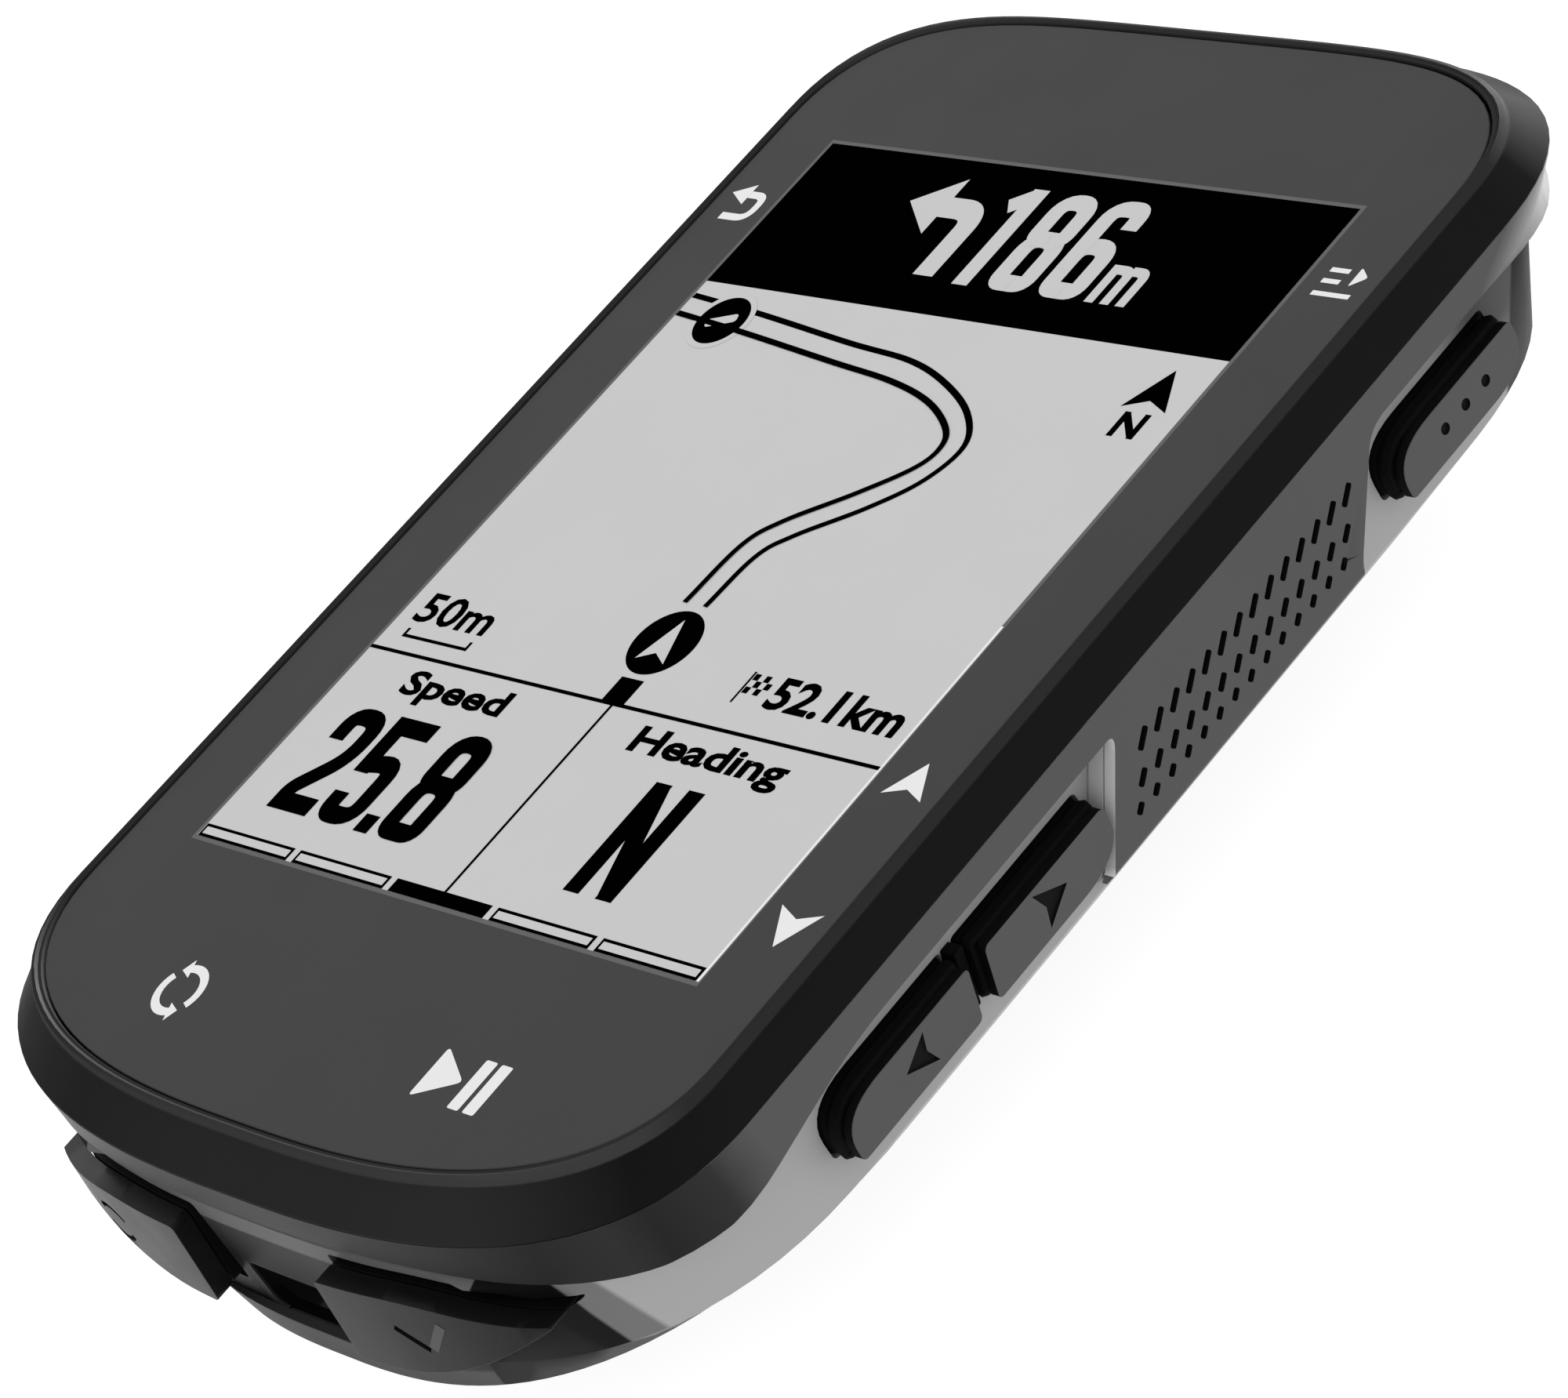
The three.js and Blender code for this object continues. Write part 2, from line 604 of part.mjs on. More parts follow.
function sideActuator(name) {
  const plunger = new THREE.CylinderGeometry(PLUNGER_R, PLUNGER_R, PLUNGER_LONG, 14)
    .rotateZ(Math.PI / 2)
    .translate(20.55, KEY_CENTRE[name], BUTTON_MID_Z);
  return KEY_SIDE[name] > 0 ? plunger : mirrorX(plunger);
}

// End button: the same parts, with the face following the curved end of the body
function shell(outer, inner) {
  return cut(common(endSolid(outer), slab(BAND_ROOM, BACK_Z, 0)), endSolid(inner));
}

function endCap(side) {
  const { x, z } = END_SWITCH;
  const face = common(alongY(rounded(endKey(0)), -50, -30), shell(0, END_CAP_THICK));
  const stem = box(x - STEM_HALF, x + STEM_HALF, -42.3, -38.55, z - STEM_RISE - 0.1, z + STEM_RISE + 0.1);
  const cap = join(face, common(stem, endSolid(0.3)));
  return side > 0 ? cap : mirrorX(cap);
}

function endBoot(side) {
  const { x, z } = END_SWITCH;
  const half = STEM_HALF + GAP;
  const rise = STEM_RISE + 0.1 + GAP;
  const sleeve = common(alongY(rounded(endKey(-0.03)), -50, -30), shell(END_CAP_THICK + 0.08, END_BOOT_DEEP));
  const boot = cut(sleeve, box(x - half, x + half, -50, -30, z - rise, z + rise));
  return side > 0 ? boot : mirrorX(boot);
}

function endSwitch(side) {
  const { x, z, front, back } = END_SWITCH;
  const half = SWITCH_HALF;
  const body = box(x - half, x + half, front, back, PCB_TOP_Z + SEAT_GAP, SWITCH_TOP_Z);
  const well = new THREE.CylinderGeometry(WELL_R, WELL_R, 2.4, 14).translate(x, front - 0.35, z);
  const unit = cut(body, well);
  return side > 0 ? unit : mirrorX(unit);
}

function endActuator(side) {
  const { x, z, front } = END_SWITCH;
  const plunger = new THREE.CylinderGeometry(PLUNGER_R, PLUNGER_R, PLUNGER_LONG, 14)
    .translate(x, front - 0.2, z);
  return side > 0 ? plunger : mirrorX(plunger);
}

// Electronics
function mainBoard() {
  const blank = common(
    plate({ half: 20.6, top: 30.4, bottom: -38.6, soft: [4, 4] }, PCB_Z, PCB_TOP_Z),
    box(-20.6, 20.6, -37.6, 40, -20, 0),
  );
  return cut(
    blank,
    box(-5.3, 5.3, -50, -36.8, -20, 0),
    box(-5.2, 5.2, PORT_Y - 2.3, PORT_Y + 2.3, -20, 0),
    ...CASE_SCREWS.map(([x, y]) => post(x, y, -12, -5, 2.6)),
  );
}

function shieldCan() {
  const can = box(-11, 11, 3.0, 21.0, PCB_TOP_Z + SEAT_GAP, -6.2);
  const inside = box(-10.7, 10.7, 3.3, 20.7, PCB_TOP_Z - 1, -6.45);
  return cut(can, inside);
}

function antenna() {
  return box(-9.0, 9.0, 24.0, 30.4, PCB_TOP_Z + SEAT_GAP, -5.8);
}

function buzzer() {
  const profile = [[0, -9.15], [4.4, -9.15], [4.4, -11.2], [0.6, -11.2], [0.6, -10.6], [0, -10.6]]
    .map(([r, z]) => new THREE.Vector2(r, z)).reverse();
  return new THREE.LatheGeometry(profile, 24).rotateX(Math.PI / 2).translate(-9.5, -18.0, 0);
}

function battery() {
  const shape = rounded([
    [-11.5, 1.2, 0.8, 0.8], [11.5, 1.2, 0.8, 0.8], [11.5, 27.0, 0.8, 0.8], [-11.5, 27.0, 0.8, 0.8],
  ]);
  return extrude(shape, 3.2).translate(0, 0, -12.55);
}

function usbSocket() {
  const round = (inset) => rounded([
    [-4.45 + inset, PORT_Y - 1.6 + inset, 0.9, 0.9], [4.45 - inset, PORT_Y - 1.6 + inset, 0.9, 0.9],
    [4.45 - inset, PORT_Y + 1.6 - inset, 0.9, 0.9], [-4.45 + inset, PORT_Y + 1.6 - inset, 0.9, 0.9],
  ]);
  const shellBody = extrude(round(0), 6.3).translate(0, 0, -12.6);
  const mouth = extrude(round(0.35), 5.2).translate(0, 0, -13.0);
  const tongue = box(-3.3, 3.3, PORT_Y - 0.35, PORT_Y + 0.35, -12.1, -6.6);
  return join(cut(shellBody, mouth), tongue);
}

function ventPlug() {
  return post(11.0, -19.5, BACK_Z + 0.12, BACK_Z + 0.55, 2.35);
}

// Charging door: rubber flap with a lug that fills the port opening, hinged at its lower edge
const DOOR_HINGE = { y: DOOR.far + 0.2, z: BACK_Z + 0.35 };

function chargingDoor() {
  const low = BACK_Z + 0.05;
  const leafShape = rounded([
    [-DOOR.half, DOOR.far, 0.3, 0.3], [DOOR.half, DOOR.far, 0.3, 0.3],
    [DOOR.half, DOOR.near, 1.6, 1.6], [-DOOR.half, DOOR.near, 1.6, 1.6],
  ]);
  const flap = extrude(leafShape, DOOR.thick).translate(0, 0, low);
  const lug = box(-4.5, 4.5, PORT_Y - 1.6, PORT_Y + 1.6, low + 0.4, FLOOR_Z + 0.25);
  const nailNotch = new THREE.CylinderGeometry(1.4, 1.4, 0.8, 16).rotateX(Math.PI / 2)
    .translate(0, DOOR.near, low);
  return cut(join(flap, lug), nailNotch);
}

// Quarter-turn mount: a round boss with two opposite tabs, screwed to the back
function mountTab(side) {
  const shape = new THREE.Shape();
  const spread = THREE.MathUtils.degToRad(33);
  const turn = (side * Math.PI) / 2;
  shape.moveTo(0, 0);
  shape.absarc(0, 0, MOUNT_TAB_R, turn - spread, turn + spread, false);
  shape.lineTo(0, 0);
  return extrude(shape, MOUNT_TAB_THICK, 12).translate(0, MOUNT_Y, MOUNT_Z);
}

function mountBoss() {
  const top = BACK_Z - 0.05;
  const core0 = post(0, MOUNT_Y, MOUNT_Z, top, MOUNT_CORE_R, 48);
  const screwHoles = [-1, 1].map((s) => post(s * MOUNT_SCREW_X, MOUNT_Y, -20, -10, 1.15, 14));
  const heads = [-1, 1].map((s) => post(s * MOUNT_SCREW_X, MOUNT_Y, -20, MOUNT_Z + 1.6, 2.2));
  return cut(join(core0, mountTab(1), mountTab(-1)), ...screwHoles, ...heads);
}

function screw(x, y, headLow, tip, headRadius, shaftRadius, headHeight) {
  const profile = [
    [0, headLow + 0.6], [0.7, headLow + 0.6], [0.7, headLow], [headRadius - 0.2, headLow],
    [headRadius, headLow + 0.25], [headRadius, headLow + headHeight],
    [shaftRadius, headLow + headHeight], [shaftRadius, tip - 0.4], [shaftRadius * 0.5, tip], [0, tip],
  ].map(([r, z]) => new THREE.Vector2(r, z));
  return new THREE.LatheGeometry(profile, 16).rotateX(Math.PI / 2).translate(x, y, 0);
}

// ---- assembly ----

add('cover_lens', coverLens(), PANEL);
add('lens_adhesive', lensAdhesive(), BLACK);
add('bezel_frame', bezelFrame(), BLACK);
add('lcd_glass', slab(GLASS, -2.5, -1.3), LCD);
add('backlight', slab(BACKLIGHT, -4.2, -2.6), LCD);
add('display_flat_cable', flatCable(), FILM);
add('inner_chassis', chassis(), BLACK);
add('side_band', sideBand(), GRIP);
add('housing_seal', housingSeal(), RUBBER);
add('rear_housing', rearHousing(), CORE);

for (const name of Object.keys(SIDE_KEYS)) {
  add(`${name}_button_cap`, sideCap(name), GRIP);
  add(`${name}_button_boot`, sideBoot(name), RUBBER);
  add(`${name}_switch`, sideSwitch(name), METAL);
  add(`${name}_switch_plunger`, sideActuator(name), BLACK);
}
for (const [name, side] of [['lap', -1], ['start', 1]]) {
  add(`${name}_button_cap`, endCap(side), BLACK);
  add(`${name}_button_boot`, endBoot(side), RUBBER);
  add(`${name}_switch`, endSwitch(side), METAL);
  add(`${name}_switch_plunger`, endActuator(side), BLACK);
}

add('main_board', mainBoard(), CIRCUIT);
add('shield_can', shieldCan(), METAL);
add('satellite_antenna', antenna(), CERAMIC);
add('buzzer', buzzer(), BLACK);
add('battery_cell', battery(), FOIL);
add('usb_socket', usbSocket(), METAL);
add('pressure_vent', ventPlug(), RUBBER);
add('charging_door', chargingDoor(), RUBBER);
add('quarter_turn_mount', mountBoss(), BLACK);
CASE_SCREWS.forEach(([x, y], i) => {
  add(`case_screw_${i + 1}`, screw(x, y, BACK_Z + 0.15, -7.0, 1.8, 0.75, 1.2), STEEL);
});
[-1, 1].forEach((s, i) => {
  add(`mount_screw_${i + 1}`, screw(s * MOUNT_SCREW_X, MOUNT_Y, MOUNT_Z + 0.2, -11.4, 1.9, 0.65, 1.3), STEEL);
});

export default device;
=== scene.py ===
import math
import bmesh
import bpy
from mathutils import Matrix, Vector


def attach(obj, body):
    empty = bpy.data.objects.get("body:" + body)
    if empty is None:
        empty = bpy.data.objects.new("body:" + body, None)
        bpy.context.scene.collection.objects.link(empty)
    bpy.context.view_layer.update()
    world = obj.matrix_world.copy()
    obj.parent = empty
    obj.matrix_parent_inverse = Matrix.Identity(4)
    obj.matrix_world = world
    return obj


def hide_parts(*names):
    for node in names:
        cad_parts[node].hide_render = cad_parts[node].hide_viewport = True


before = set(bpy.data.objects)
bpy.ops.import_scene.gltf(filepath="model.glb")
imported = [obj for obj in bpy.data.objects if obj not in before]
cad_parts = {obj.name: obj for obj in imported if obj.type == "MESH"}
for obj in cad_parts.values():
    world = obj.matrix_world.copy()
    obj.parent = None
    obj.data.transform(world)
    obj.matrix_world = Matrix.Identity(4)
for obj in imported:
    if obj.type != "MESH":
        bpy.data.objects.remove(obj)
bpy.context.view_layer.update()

# Pieces are drawn in millimetres in the screen's own frame: z = 0 on the lens, y = 0 mid-screen.
MM = 0.001
SCREEN_Y = 2.0
THICK = 18.3

# The plan outline: super-ellipse powers of its two ends, where each end starts, and its sizes.
TOP_POWERS = (4.9, 2.3)
LOW_POWERS = (2.75, 2.3)
TOP_START = 8.7
LOW_START = 10.4
LENS = dict(half=23.85, top=35.65, bottom=-39.25, soft=(0, 0))
BEZEL = dict(half=25.75, top=37.7, bottom=-41.9, soft=(1.8, 1.2))
LIP_FOOT = dict(half=25.75, top=37.0, bottom=-41.9, soft=(4.4, 1.4))
BACK_Z, FLOOR_Z = -14.3, -12.9
CORE_LEVELS = [
    (BACK_Z, dict(half=19.2, top=28.2, bottom=-39.8, soft=(6.0, 8.5))),
    (FLOOR_Z, dict(half=20.9, top=30.8, bottom=-42.15, soft=(6.0, 11.0))),
    (-10.3, dict(half=23.9, top=33.6, bottom=-42.2, soft=(4.5, 6.0))),
    (-4.7, dict(half=23.9, top=36.2, bottom=-42.5, soft=(2.0, 2.5))),
    (-3.6, dict(half=23.9, top=36.1, bottom=-40.9, soft=(2.5, 1.5))),
    (-2.9, dict(half=23.9, top=36.1, bottom=-40.7, soft=(2.5, 1.5))),
]
CORNER = 30


def grow(shape, by):
    """The same outline moved out by a distance."""
    return dict(half=shape["half"] + by, top=shape["top"] + by, bottom=shape["bottom"] - by,
                soft=shape["soft"])


def place(x, y, z):
    """Screen-frame millimetres to scene metres."""
    return Vector((x, y + SCREEN_Y, z + THICK)) * MM


# ---------- meshes ----------

def mesh_object(name, verts, faces):
    mesh = bpy.data.meshes.new(name)
    mesh.from_pydata([place(*v) for v in verts], [], faces)
    mesh.validate()
    obj = bpy.data.objects.new(name, mesh)
    bpy.context.scene.collection.objects.link(obj)
    bm = bmesh.new()
    bm.from_mesh(mesh)
    bmesh.ops.recalc_face_normals(bm, faces=bm.faces)
    bm.to_mesh(mesh)
    bm.free()
    return obj


def even_angles(shape, powers, depth):
    """Angles of a quarter super-ellipse that space its points evenly."""
    fine = 600
    dense = []
    for i in range(fine + 1):
        u = 0.5 * math.pi * i / fine
        dense.append((u, shape["half"] * math.cos(u) ** (2 / powers[0]) if i < fine else 0.0,
                      depth * math.sin(u) ** (2 / powers[1])))
    run = [0.0]
    for a, b in zip(dense, dense[1:]):
        run.append(run[-1] + math.hypot(a[1] - b[1], a[2] - b[2]))
    angles = []
    k = 0
    for i in range(CORNER + 1):
        want = run[-1] * i / CORNER
        while k < fine and run[k + 1] < want:
            k += 1
        angles.append(dense[min(k, fine)][0])
    angles[-1] = 0.5 * math.pi
    return angles


TOP_ANGLES = even_angles(BEZEL, TOP_POWERS, TOP_START + 1.8)
LOW_ANGLES = even_angles(BEZEL, LOW_POWERS, LOW_START + 1.2)


def outline(shape):
    half, top, bottom = shape["half"], shape["top"], shape["bottom"]

    def quarter(limit, start, powers, angles):
        return [(half * max(math.cos(u), 0) ** (2 / powers[0]),
                 start + (limit - start) * math.sin(u) ** (2 / powers[1])) for u in angles]

    up = quarter(top, top - TOP_START - shape["soft"][0], TOP_POWERS, TOP_ANGLES)
    low = quarter(bottom, bottom + LOW_START + shape["soft"][1], LOW_POWERS, LOW_ANGLES)
    side = [up[0][1] + (low[0][1] - up[0][1]) * i / 10 for i in range(1, 10)]
    points = list(up)
    points += [(-x, y) for x, y in reversed(up[:-1])]
    points += [(-half, y) for y in side]
    points += [(-x, y) for x, y in low[:-1]]
    points += list(reversed(low))
    points += [(half, y) for y in reversed(side)]
    return points


def skin(name, rings):
    """Closed solid through rings of equally many points."""
    count = len(rings[0])
    verts = [v for ring in rings for v in ring]
    faces = []
    for r in range(len(rings) - 1):
        for i in range(count):
            j = (i + 1) % count
            faces.append((r * count + i, r * count + j, (r + 1) * count + j, (r + 1) * count + i))
    faces.append(tuple(reversed(range(count))))
    faces.append(tuple(range((len(rings) - 1) * count, len(rings) * count)))
    return mesh_object(name, verts, faces)


def loft(name, levels):
    """Solid through plan outlines given as (z, shape)."""
    return skin(name, [[(x, y, z) for x, y in outline(shape)] for z, shape in levels])


def rounded(corners, steps=8):
    """Polygon with rounded corners; each corner is (u, v, rounding before, rounding after)."""
    points = []
    count = len(corners)
    for i, (u, v, before, after) in enumerate(corners):
        c = Vector((u, v))
        p = Vector(corners[i - 1][:2])
        n = Vector(corners[(i + 1) % count][:2])
        a = c + (p - c).normalized() * before
        b = c + (n - c).normalized() * after
        if max(before, after) < 0.12:
            points.append(tuple(c))
            continue
        for k in range(steps + 1):
            t = k / steps
            q = a * (1 - t) ** 2 + c * 2 * t * (1 - t) + b * t ** 2
            points.append((q.x, q.y))
    return points


def prism(name, points, axis, low, high):
    """Solid of a polygon pushed along an axis: x takes (y, z) points, y takes (x, z), z (x, y)."""
    def at(p, d):
        return {"x": (d, p[0], p[1]), "y": (p[0], d, p[1]), "z": (p[0], p[1], d)}[axis]

    return skin(name, [[at(p, low) for p in points], [at(p, high) for p in points]])


def block(name, x0, x1, y0, y1, z0, z1):
    return prism(name, [(x0, y0), (x1, y0), (x1, y1), (x0, y1)], "z", z0, z1)


def lathe(name, profile, steps=64, x=0.0, y=0.0):
    """Solid turned about a z-parallel axis at (x, y); the profile runs from axis to axis."""
    verts, faces, rings = [], [], []
    for r, z in profile:
        if r < 1e-6:
            rings.append([len(verts)])
            verts.append((x, y, z))
        else:
            rings.append(list(range(len(verts), len(verts) + steps)))
            for i in range(steps):
                a = 2 * math.pi * i / steps
                verts.append((x + r * math.cos(a), y + r * math.sin(a), z))
    for lower, upper in zip(rings, rings[1:]):
        for i in range(steps):
            j = (i + 1) % steps
            if len(lower) == 1:
                faces.append((lower[0], upper[j], upper[i]))
            elif len(upper) == 1:
                faces.append((lower[i], lower[j], upper[0]))
            else:
                faces.append((lower[i], lower[j], upper[j], upper[i]))
    return mesh_object(name, verts, faces)


def mirrored(obj):
    for v in obj.data.vertices:
        v.co.x = -v.co.x
    obj.data.flip_normals()
    return obj


def drop(obj):
    mesh = obj.data
    bpy.data.objects.remove(obj)
    bpy.data.meshes.remove(mesh)


def combine(obj, tools, operation):
    for tool in tools:
        mod = obj.modifiers.new("combine", "BOOLEAN")
        mod.operation = operation
        mod.solver = "EXACT"
        mod.use_self = False
        mod.object = tool
    settle(obj)
    for tool in tools:
        drop(tool)
    return obj


def cut(obj, *tools):
    return combine(obj, tools, "DIFFERENCE")


def join(obj, *tools):
    return combine(obj, tools, "UNION")


def common(obj, tool):
    return combine(obj, [tool], "INTERSECT")


def merge(objs, name):
    """One mesh holding several closed solids that don't touch."""
    bm = bmesh.new()
    for o in objs:
        bm.from_mesh(o.data)
    mesh = bpy.data.meshes.new(name)
    bm.to_mesh(mesh)
    bm.free()
    for o in objs:
        drop(o)
    merged = bpy.data.objects.new(name, mesh)
    bpy.context.scene.collection.objects.link(merged)
    return merged


def settle(obj):
    """Applies the object's modifiers to its mesh."""
    bpy.context.view_layer.update()
    graph = bpy.context.evaluated_depsgraph_get()
    mesh = bpy.data.meshes.new_from_object(obj.evaluated_get(graph))
    old = obj.data
    obj.modifiers.clear()
    obj.data = mesh
    bpy.data.meshes.remove(old)


WELD = 0.002
SLIVER = 0.001
FLAT_ANGLE = math.radians(0.6)
SHARP_ANGLE = math.radians(32)


def edit_mesh(obj, *steps):
    bm = bmesh.new()
    bm.from_mesh(obj.data)
    for step in steps:
        step(bm)
    bm.to_mesh(obj.data)
    bm.free()


def weld(dist):
    return lambda bm: bmesh.ops.remove_doubles(bm, verts=bm.verts, dist=dist * MM)


def dissolve_flat(bm):
    bmesh.ops.dissolve_limit(bm, angle_limit=FLAT_ANGLE, verts=bm.verts, edges=bm.edges)


def dissolve_slivers(bm):
    bmesh.ops.dissolve_degenerate(bm, edges=bm.edges, dist=SLIVER * MM)


def soften(obj, width=0.0, limit=38, segments=3):
    """Rounds the sharp edges by a width in millimetres and smooths the shading."""
    if width > 0:
        edit_mesh(obj, weld(WELD), dissolve_flat)
        mod = obj.modifiers.new("bevel", "BEVEL")
        mod.width = width * MM
        mod.segments = segments
        mod.limit_method = "ANGLE"
        mod.angle_limit = math.radians(limit)
        mod.use_clamp_overlap = True
        mod.miter_outer = "MITER_ARC"
        settle(obj)
        edit_mesh(obj, weld(SLIVER), dissolve_slivers)
    mesh = obj.data
    for p in mesh.polygons:
        p.use_smooth = True
    mesh.set_sharp_from_angle(angle=SHARP_ANGLE)
    mod = obj.modifiers.new("normals", "WEIGHTED_NORMAL")
    mod.keep_sharp = True
    mod.weight = 60
    settle(obj)
    return obj


# ---------- materials ----------

CLOUD_SCALE = 160.0
CLOUD_LOW, CLOUD_HIGH = 0.3, 0.7
GLOSS_SPREAD = 0.05
BUMP_HEIGHT = 0.02 * MM


def material(name, color, roughness, specular=0.5, grain=0.0, grain_size=0.25, mottle=0.04,
             metallic=0.0):
    """Moulded, painted or metal surface with fine grain and slight mottling."""
    mat = bpy.data.materials.new(name)
    mat.use_nodes = True
    nodes, links = mat.node_tree.nodes, mat.node_tree.links
    shader = nodes["Principled BSDF"]
    shader.inputs["Specular IOR Level"].default_value = specular
    shader.inputs["Metallic"].default_value = metallic
    coords = nodes.new("ShaderNodeTexCoord")
    cloud = nodes.new("ShaderNodeTexNoise")
    cloud.inputs["Scale"].default_value = CLOUD_SCALE
    cloud.inputs["Detail"].default_value = 4.0
    links.new(coords.outputs["Object"], cloud.inputs["Vector"])

    def clouded(low, high):
        node = nodes.new("ShaderNodeMapRange")
        limits = (("From Min", CLOUD_LOW), ("From Max", CLOUD_HIGH), ("To Min", low), ("To Max", high))
        for key, value in limits:
            node.inputs[key].default_value = value
        links.new(cloud.outputs["Fac"], node.inputs["Value"])
        return node.outputs["Result"]

    scale = nodes.new("ShaderNodeVectorMath")
    scale.operation = "SCALE"
    scale.inputs[0].default_value = color
    links.new(clouded(1.0 - mottle, 1.0 + mottle), scale.inputs["Scale"])
    links.new(scale.outputs["Vector"], shader.inputs["Base Color"])
    gloss = clouded(max(roughness - GLOSS_SPREAD, 0.02), min(roughness + GLOSS_SPREAD, 1.0))
    links.new(gloss, shader.inputs["Roughness"])
    if grain > 0:
        fine = nodes.new("ShaderNodeTexNoise")
        fine.inputs["Scale"].default_value = 1000.0 / grain_size
        fine.inputs["Detail"].default_value = 2.0
        links.new(coords.outputs["Object"], fine.inputs["Vector"])
        bump = nodes.new("ShaderNodeBump")
        bump.inputs["Strength"].default_value = grain
        bump.inputs["Distance"].default_value = BUMP_HEIGHT
        links.new(fine.outputs["Fac"], bump.inputs["Height"])
        links.new(bump.outputs["Normal"], shader.inputs["Normal"])
    mat["tone_node"] = scale.name
    return mat


class Shade:
    """Arithmetic on a material's object coordinates (mm, screen frame) and object normals."""

    def __init__(self, mat):
        self.nodes, self.links = mat.node_tree.nodes, mat.node_tree.links
        self.source = self.nodes[mat["tone_node"]]
        coords = self.nodes.new("ShaderNodeTexCoord")
        axes = self.nodes.new("ShaderNodeSeparateXYZ")
        self.links.new(coords.outputs["Object"], axes.inputs["Vector"])
        self.x = self.op("ABSOLUTE", self.op("MULTIPLY", axes.outputs["X"], 1 / MM))
        self.y = self.op("MULTIPLY_ADD", axes.outputs["Y"], 1 / MM, -SCREEN_Y)
        self.z = self.op("MULTIPLY_ADD", axes.outputs["Z"], 1 / MM, -THICK)
        facing = self.nodes.new("ShaderNodeSeparateXYZ")
        self.links.new(coords.outputs["Normal"], facing.inputs["Vector"])
        angle = self.op("ARCTAN2", facing.outputs["Y"], facing.outputs["X"])
        self.azimuth = self.op("MULTIPLY", angle, 180 / math.pi)

    def op(self, operation, *values):
        node = self.nodes.new("ShaderNodeMath")
        node.operation = operation
        for slot, value in enumerate(values):
            if isinstance(value, (int, float)):
                node.inputs[slot].default_value = value
            else:
                self.links.new(value, node.inputs[slot])
        return node.outputs["Value"]

    def step(self, value, low, high):
        node = self.nodes.new("ShaderNodeMapRange")
        node.interpolation_type = "SMOOTHSTEP"
        node.inputs["From Min"].default_value = low
        node.inputs["From Max"].default_value = high
        self.links.new(value, node.inputs["Value"])
        return node.outputs["Result"]

    def ramp(self, value, stops):
        """Grey that follows (value, tone) stops."""
        low, high = stops[0][0], stops[-1][0]
        node = self.nodes.new("ShaderNodeValToRGB")
        band = node.color_ramp
        while len(band.elements) < len(stops):
            band.elements.new(0.5)
        for element, (at, tone) in zip(band.elements, stops):
            element.position = (at - low) / (high - low)
            element.color = (*gray(tone), 1.0)
        place_on_band = self.op("MULTIPLY_ADD", value, 1 / (high - low), -low / (high - low))
        self.links.new(place_on_band, node.inputs["Fac"])
        return node.outputs["Color"]

    def mix(self, mask, first, second):
        node = self.nodes.new("ShaderNodeMix")
        node.data_type = "RGBA"
        self.links.new(mask, node.inputs["Factor"])
        for key, value in (("A", first), ("B", second)):
            if isinstance(value, (int, float)):
                node.inputs[key].default_value = (*gray(value), 1.0)
            else:
                self.links.new(value, node.inputs[key])
        return node.outputs["Result"]

    def paint(self, color):
        """Uses a colour as the base tone under the material's mottling."""
        self.links.new(color, self.source.inputs[0])


def gray(value):
    """Linear colour of a grey given as a display tone from 0 to 255."""
    c = value / 255
    linear = c / 12.92 if c <= 0.04045 else ((c + 0.055) / 1.055) ** 2.4
    return (linear, linear, linear)


PANEL = material("panel", gray(58), 0.42, 0.1, grain=0.05, grain_size=0.2, mottle=0.015)
BLACK = material("black_plastic", gray(22), 0.4, 0.05, grain=0.2, grain_size=0.18, mottle=0.05)
BEZEL_BLACK = material("bezel_black", gray(22), 0.45, 0.015, grain=0.15, grain_size=0.18, mottle=0.04)
GRIP = material("grip_plastic", gray(80), 0.55, 0.08, grain=0.5, grain_size=0.22, mottle=0.03)
KEY_FACE = material("key_face", gray(80), 0.5, 0.08, grain=0.5, grain_size=0.22, mottle=0.03)
HOUSING = material("housing", gray(158), 0.45, 0.03, grain=0.1, grain_size=0.3, mottle=0.02)
# Painted light: a light grey for the grip band's cut edges at the scoops, which lie in shade.
PAINTED_EDGE_LIGHT = material("scoop_edge_painted_light", gray(208), 0.45, 0.05, grain=0.1, grain_size=0.3, mottle=0.02)
RUBBER = material("rubber", gray(9), 0.6, 0.05, grain=0.3, grain_size=0.25, mottle=0.1)
CAP_DARK = material("cap_dark", gray(15), 0.35, 0.12, grain=0.25, grain_size=0.2, mottle=0.04)
# Dark grey of sunk faces: the marks on the buttons, and painted shade on the walls of the grip's slots.
MARK_AND_SLOT_SHADE = material("mark_and_slot_shade", gray(20), 0.7, 0.05, grain=0.4, grain_size=0.2, mottle=0.06)
LCD_LIGHT = material("lcd_light", gray(199), 0.5, 0.1, grain=0.03, grain_size=0.3, mottle=0.01)
LCD_BLACK = material("lcd_black", gray(1), 1.0, 0.0, mottle=0.1)
# White of the printed icons, and of the painted glint along the display window's edge.
PRINT_AND_GLINT = material("print_white_and_glint", gray(233), 0.6, 0.0, grain=0.05, grain_size=0.3, mottle=0.01)
FAINT = material("window_line", gray(98), 0.5, 0.05, grain=0.05, grain_size=0.3, mottle=0.02)
METAL = material("plated_metal", gray(190), 0.3, 0.5, grain=0.2, grain_size=0.1, mottle=0.05,
                 metallic=1.0)
STEEL = material("steel", gray(160), 0.32, 0.5, grain=0.3, grain_size=0.08, mottle=0.08,
                 metallic=1.0)
BOARD = material("board", (0.012, 0.07, 0.025), 0.45, 0.4, grain=0.2, grain_size=0.4, mottle=0.15)
FILM = material("film", (0.45, 0.15, 0.015), 0.4, 0.4, grain=0.2, grain_size=0.4, mottle=0.1)
CERAMIC = material("ceramic", (0.69, 0.62, 0.42), 0.6, 0.3, grain=0.4, grain_size=0.3, mottle=0.05)
FOIL = material("foil", (0.27, 0.29, 0.32), 0.4, 0.5, grain=0.3, grain_size=0.5, mottle=0.1,
                metallic=0.6)


